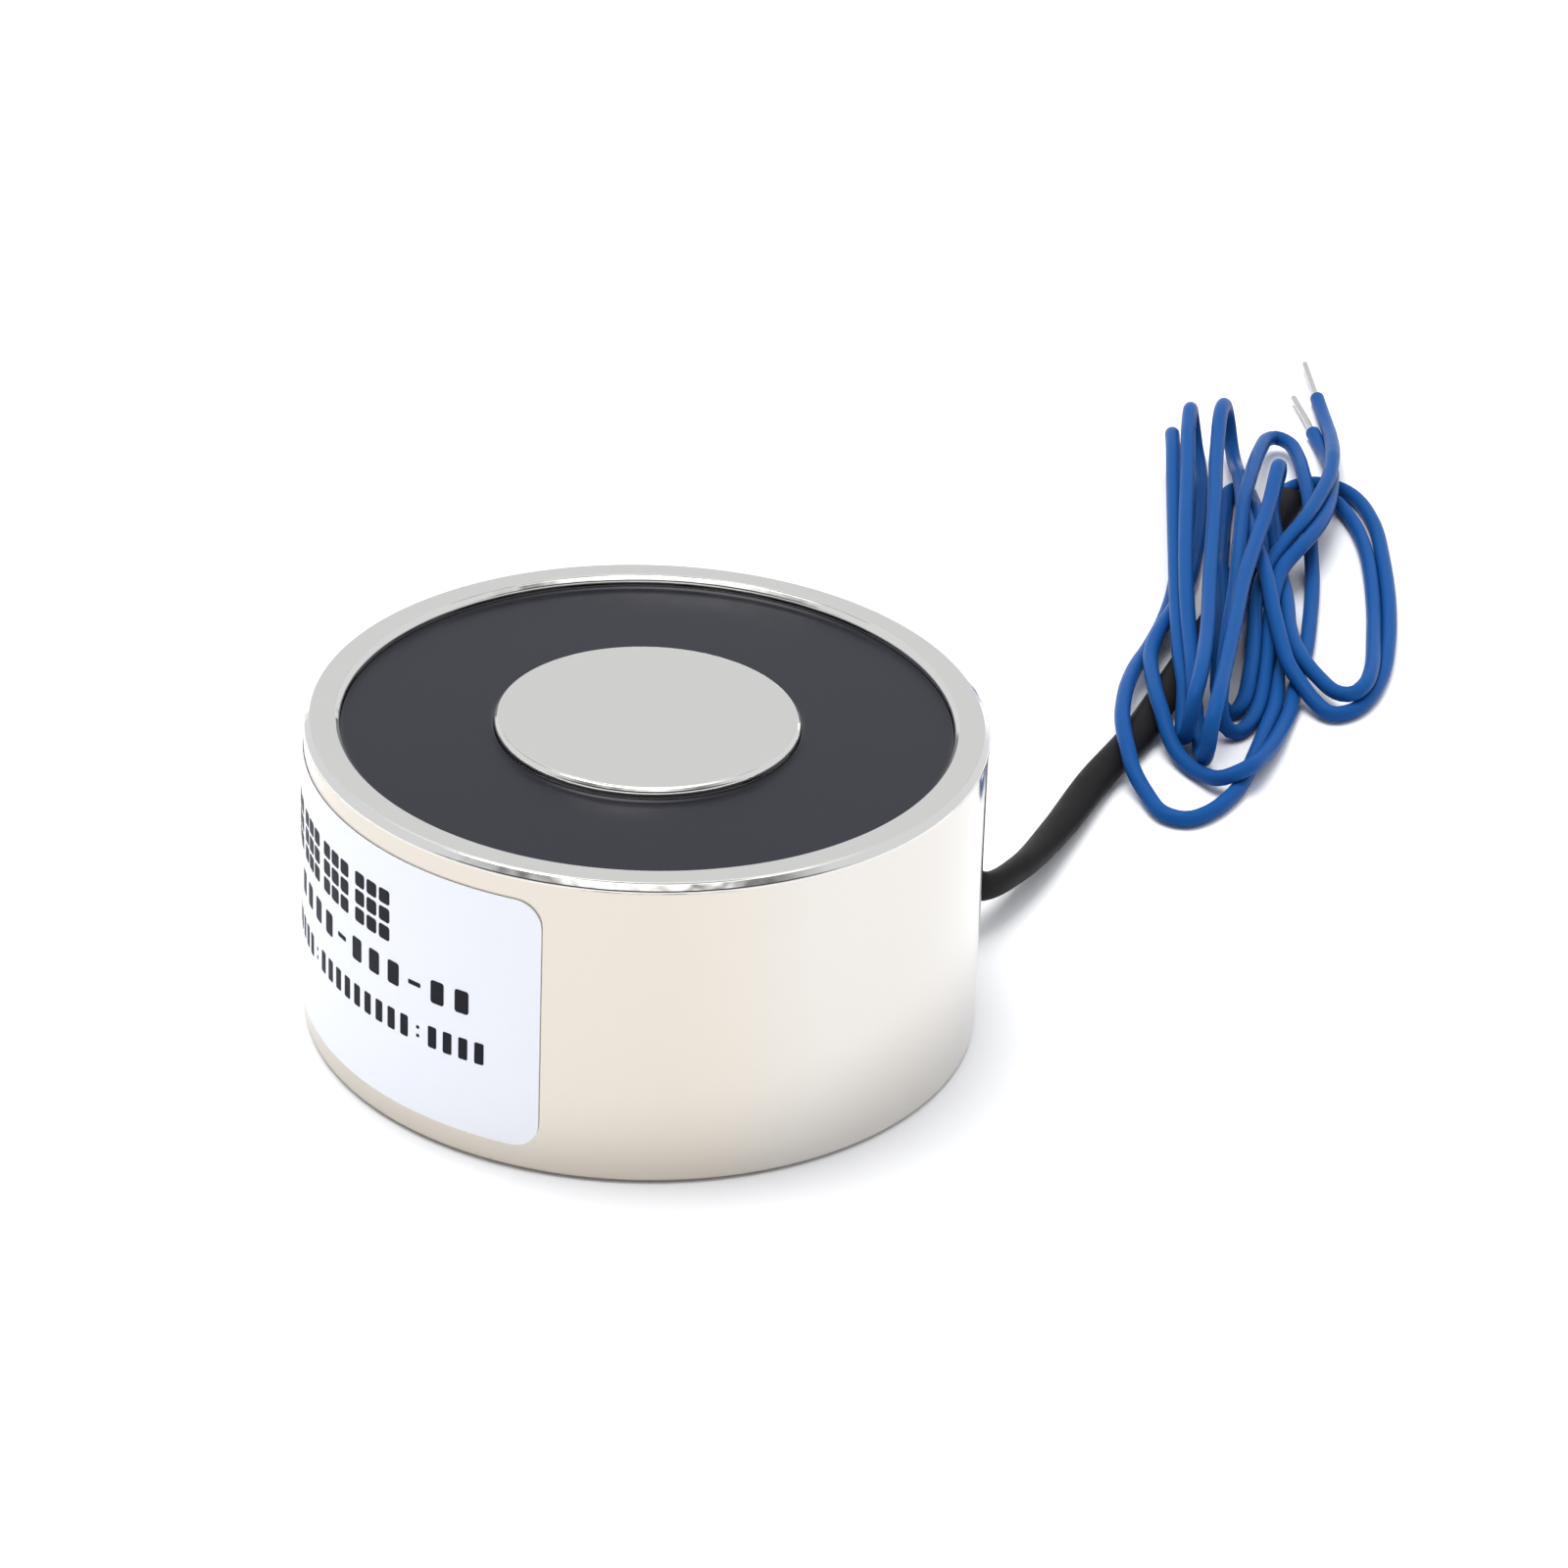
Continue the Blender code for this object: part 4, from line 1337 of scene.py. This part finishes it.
@dataclass(frozen=True)
class Leads:
    """The two leads, their flat sleeve and their stripped ends.

    Inside the sleeve the leads are twisted by an angle in degrees, which eases off along it. Their points
    lie a spacing apart, which is in millimetres. The rounds settle the hank. The join gap is the number of
    points left out where a lead leaves the sleeve, and the tip overlap those that a tip has in its lead.
    """

    pot: Pot
    lead: float = 1.05 * MM
    conductor: float = 0.45 * MM
    stripped: float = 5.8 * MM
    sleeve_width: float = 2.28 * MM
    sleeve_height: float = 1.64 * MM
    sleeve_wall: float = 0.07 * MM
    sleeve_steps: int = 32
    inner_end: float = 17.4 * MM
    straight: float = 0.6 * MM
    twist: float = -62.0
    untwist: float = 26.0 * MM
    spacing: float = 0.5
    rounds: int = 200
    quick_rounds: int = 60
    join_gap: int = 2
    tip_overlap: int = 3
    insulation: Satin = Satin("insulation_look", (0.009, 0.070, 0.245), (0.30, 0.38), gloss=0.03)
    sleeving: Satin = Satin("sleeve_look", (0.0125, 0.0115, 0.012), (0.42, 0.5), gloss=0.03)
    tin: Satin = Satin("tinned_look", (0.56, 0.55, 0.53), (0.25, 0.4), metallic=1.0)

    def build(self, effects: Effects) -> list[Object]:
        """Adds the sleeve, both leads and their stripped ends.

        Args:
            effects: The shared effects.

        Returns:
            The pieces.
        """
        middle = self.sleeve_line()
        sides = self.sleeve_sides(middle)
        sleeve = self.build_sleeve(middle, sides)
        strands = [self.build_strand(*given) for given in zip(ROUTES, self.lead_lines(middle, sides))]
        self.dress(sleeve, strands, effects)
        for strand in strands:
            self.declare(strand)
        return [sleeve, *(piece for strand in strands for piece in (strand.lead, strand.tip))]

    def dress(self, sleeve: Object, strands: list[Strand], effects: Effects) -> None:
        """Gives the pieces their finishes.

        Args:
            sleeve: The sleeve.
            strands: Both leads.
            effects: The shared effects.
        """
        finish_piece(sleeve, self.sleeving.build(effects), "black_sleeve", "lead_sleeve")
        blue = self.insulation.build(effects)
        tin = self.tin.build(effects)
        for route, strand in zip(ROUTES, strands):
            finish_piece(strand.lead, blue, "blue_insulation", *route.nodes)
            finish_piece(strand.tip, tin, "tinned_copper", f"tinned_end_{route.letter}")

    def declare(self, strand: Strand) -> None:
        """Logs a lead's name and length.

        Args:
            strand: The lead.
        """
        log.info("%s: %.0f mm long", strand.lead.name, strand.length / MM)

    def lead_lines(self, middle: np.ndarray, sides: np.ndarray) -> list[np.ndarray]:
        """Both leads' lines in millimetres, from inside the wall to the tips, with the hank settled.

        Args:
            middle: The sleeve's middle.
            sides: Which way lead A lies from lead B at each of its points.

        Returns:
            The lines.
        """
        half = self.lead / MM / 2
        hidden = [middle + sides * half, middle - sides * half]
        drawn = [smooth_line(route.points, self.spacing) for route in ROUTES]
        rounds = self.rounds
        shown = Settling(self.lead / MM, self.spacing, rounds).settle(drawn, np.vstack(hidden))
        return [np.vstack([inner[: -self.join_gap], outer]) for inner, outer in zip(hidden, shown)]

    def build_strand(self, route: Route, line: np.ndarray) -> Strand:
        """One lead and its stripped tip, which starts inside the insulation.

        Args:
            route: The lead's route.
            line: Its whole line in millimetres.

        Returns:
            The lead as it is drawn.
        """
        bare = int(round(self.stripped / MM / self.spacing))
        covered = evenly_spaced(line[:-bare], self.spacing) * MM
        lead = new_tube(f"lead_{route.letter}", covered, self.lead)
        tip = new_tube(f"tinned_tip_{route.letter}", line[-bare - self.tip_overlap :] * MM, self.conductor)
        return Strand(lead, tip, line_length(covered))

    def sleeve_line(self) -> np.ndarray:
        """The sleeve's middle in millimetres: straight out through the wall, then over the floor.

        Returns:
            Points, one row each.
        """
        pot = self.pot
        inside = around(self.inner_end, pot.hole_bearing, pot.hole_height) / MM
        outside = around(pot.body_radius + self.straight, pot.hole_bearing, pot.hole_height) / MM
        points = [inside, inside.lerp(outside, 0.5), outside, *SLEEVE_POINTS]
        return smooth_line([tuple(point) for point in points], self.spacing)

    def sleeve_sides(self, line: np.ndarray) -> np.ndarray:
        """Which way lead A lies from lead B in the sleeve: steep in the wall, level on the floor.

        Args:
            line: The sleeve's middle.

        Returns:
            A unit vector for each of its points.
        """
        along = directions(line)
        left = np.cross([0.0, 0.0, 1.0], along)
        left /= np.linalg.norm(left, axis=1)[:, None]
        up = np.cross(along, left)
        travelled = np.arange(len(line)) * self.spacing
        share = np.clip(travelled / (self.untwist / MM), 0, 1)
        turn = (math.radians(self.twist) * (1 - share * share * (3 - 2 * share)))[:, None]
        return left * np.cos(turn) + up * np.sin(turn)

    def build_sleeve(self, middle: np.ndarray, sides: np.ndarray) -> Object:
        """The sleeve: an oval tube with a wall, open at its end.

        Args:
            middle: The sleeve's middle in millimetres.
            sides: The direction of the oval's long axis at each of its points.

        Returns:
            The sleeve's object.
        """
        along = directions(middle)
        stations = list(zip(middle * MM, sides, np.cross(along, sides), along))
        shape = bmesh.new()
        ovals = []
        for inset, path in ((0.0, stations), (self.sleeve_wall, stations[::-1])):
            wide = self.sleeve_width / 2 - inset
            high = self.sleeve_height / 2 - inset
            for centre, side, flat, ahead in path:
                axes = Matrix((side * wide, flat * high, ahead)).transposed().to_4x4()
                place = Matrix.Translation(centre) @ axes
                oval = bmesh.ops.create_circle(shape, segments=self.sleeve_steps, radius=1.0, matrix=place)
                edges = dict.fromkeys(edge for corner in oval["verts"] for edge in corner.link_edges)
                ovals.append(list(edges))
        for first, second in zip(ovals, ovals[1:] + ovals[:1]):
            bmesh.ops.bridge_loops(shape, edges=first + second)
        bmesh.ops.recalc_face_normals(shape, faces=shape.faces)
        return new_mesh("sleeve", shape, 180.0)


@dataclass(frozen=True)
class Inside:
    """The pieces inside the pot, which keep their CAD shapes: each finish, and the nodes that have it."""

    finishes: tuple[tuple[Satin, tuple[str, ...]], ...] = (
        (Satin("nylon_look", (0.03, 0.03, 0.032), (0.45, 0.55)), ("coil_bobbin",)),
        (Satin("copper_look", (0.62, 0.25, 0.10), (0.3, 0.4), metallic=1.0), ("coil_winding",)),
        (Satin("tape_look", (0.75, 0.58, 0.12), (0.35, 0.45)), ("winding_tape",)),
        (
            Satin("enamel_look", (0.55, 0.20, 0.08), (0.25, 0.35), metallic=1.0),
            ("coil_start_tail", "coil_finish_tail"),
        ),
        (
            Satin("solder_look", (0.72, 0.71, 0.68), (0.3, 0.45), metallic=1.0),
            ("solder_joint_a", "solder_joint_b"),
        ),
        (Satin("splice_look", (0.85, 0.83, 0.75), (0.45, 0.55)), ("splice_tube_a", "splice_tube_b")),
        (Satin("inside_lead_look", (0.012, 0.075, 0.27), (0.4, 0.5)), ("lead_inside_a", "lead_inside_b")),
    )

    def build(self, effects: Effects) -> list[Object]:
        """Dresses the pieces.

        Args:
            effects: The shared effects.

        Returns:
            The pieces.
        """
        pieces = []
        for finish, nodes in self.finishes:
            material = finish.build(effects)
            for node in nodes:
                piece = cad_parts[node]
                piece.data.materials.clear()
                piece.data.materials.append(material)
                pieces.append(piece)
        return pieces


@dataclass(frozen=True)
class Softbox:
    """A studio light: where it hangs, its size and its strength."""

    name: str
    place: Point
    size: float
    strength: float

    def build(self) -> Object:
        """Hangs the light, facing the magnet.

        Returns:
            The light's object.
        """
        data = bpy.data.lights.new(self.name, "AREA")
        data.shape = "SQUARE"
        data.size = self.size
        data.energy = self.strength
        lamp = new_object(self.name, data)
        lamp.location = self.place
        lamp.rotation_euler = (-Vector(self.place)).to_track_quat("-Z", "Y").to_euler()
        return lamp


@dataclass(frozen=True)
class Studio:
    """The white table, the light over it and the room round it.

    The spans say where the room changes, as a direction's height or its lean towards the camera's side.
    """

    table_half: float = 3.0
    paper: Colour = (0.88, 0.885, 0.90)
    paper_roughness: float = 0.7
    paper_gloss: float = 0.1
    softbox: Softbox = Softbox("key_softbox", (-0.13, 0.08, 0.84), 0.5, 5.3)
    horizon: Colour = (0.92, 0.94, 0.98)
    overhead: Colour = (1.9, 1.9, 1.9)
    unlit: Colour = (0.10, 0.09, 0.09)
    background: Colour = (1.0, 1.0, 1.0)
    overhead_span: Span = (0.80, 0.92)
    unlit_from: Span = (0.35, 0.5)
    unlit_to: Span = (0.80, 0.88)
    unlit_front: Span = (0.15, 0.4)

    def build(self) -> list[Object]:
        """Adds the table, the light and the room.

        Returns:
            The table and the light.
        """
        shape = bmesh.new()
        bmesh.ops.create_grid(shape, x_segments=1, y_segments=1, size=self.table_half)
        table = new_mesh("table", shape)
        material, _, shader = principled("table_white", self.paper, 0.0, self.paper_gloss)
        shader.inputs["Roughness"].default_value = self.paper_roughness
        table.data.materials.append(material)
        self.surround()
        bpy.context.scene.view_settings.view_transform = "Standard"
        return [table, self.softbox.build()]

    def surround(self) -> None:
        """Makes a white background, and a room: pale low down, bright overhead and unlit over the camera."""
        world = bpy.data.worlds.new("studio")
        bpy.context.scene.world = world
        world.use_nodes = True
        world.node_tree.nodes.clear()
        tree = Tree(world.node_tree)
        toward = tree.axes(tree.node("TexCoord").outputs["Generated"])
        up = toward["Z"]
        front = tree.product(toward["Y"], -1.0)
        between = tree.product(tree.ramp(up, self.unlit_from), tree.ramp(up, self.unlit_to, (1.0, 0.0)))
        unlit = tree.product(tree.ramp(front, self.unlit_front), between)
        lit = tree.blend(tree.ramp(up, self.overhead_span), self.horizon, self.overhead)
        room = tree.node("Background", {"Color": tree.blend(unlit, lit, self.unlit), "Strength": 1.0})
        seen = tree.node("Background", {"Color": self.background, "Strength": 1.0})
        mix = tree.node("MixShader", {0: tree.node("LightPath").outputs["Is Camera Ray"]})
        tree.feed(mix.inputs[1], room.outputs["Background"])
        tree.feed(mix.inputs[2], seen.outputs["Background"])
        tree.node("OutputWorld", {"Surface": mix.outputs["Shader"]})


def main() -> None:
    """Builds the camera, each part of the magnet and the studio."""
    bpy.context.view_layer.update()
    View().build()
    effects = Effects()
    pot = Pot()
    parts: tuple[Part, ...] = (Leads(pot), pot, Resin(pot), Label(pot), Inside())
    for part in parts:
        for piece in part.build(effects):
            log.info("%s: built and dressed", piece.name)
    for thing in Studio().build():
        log.info("%s: set up", thing.name)


if __name__ == "__main__":
    main()
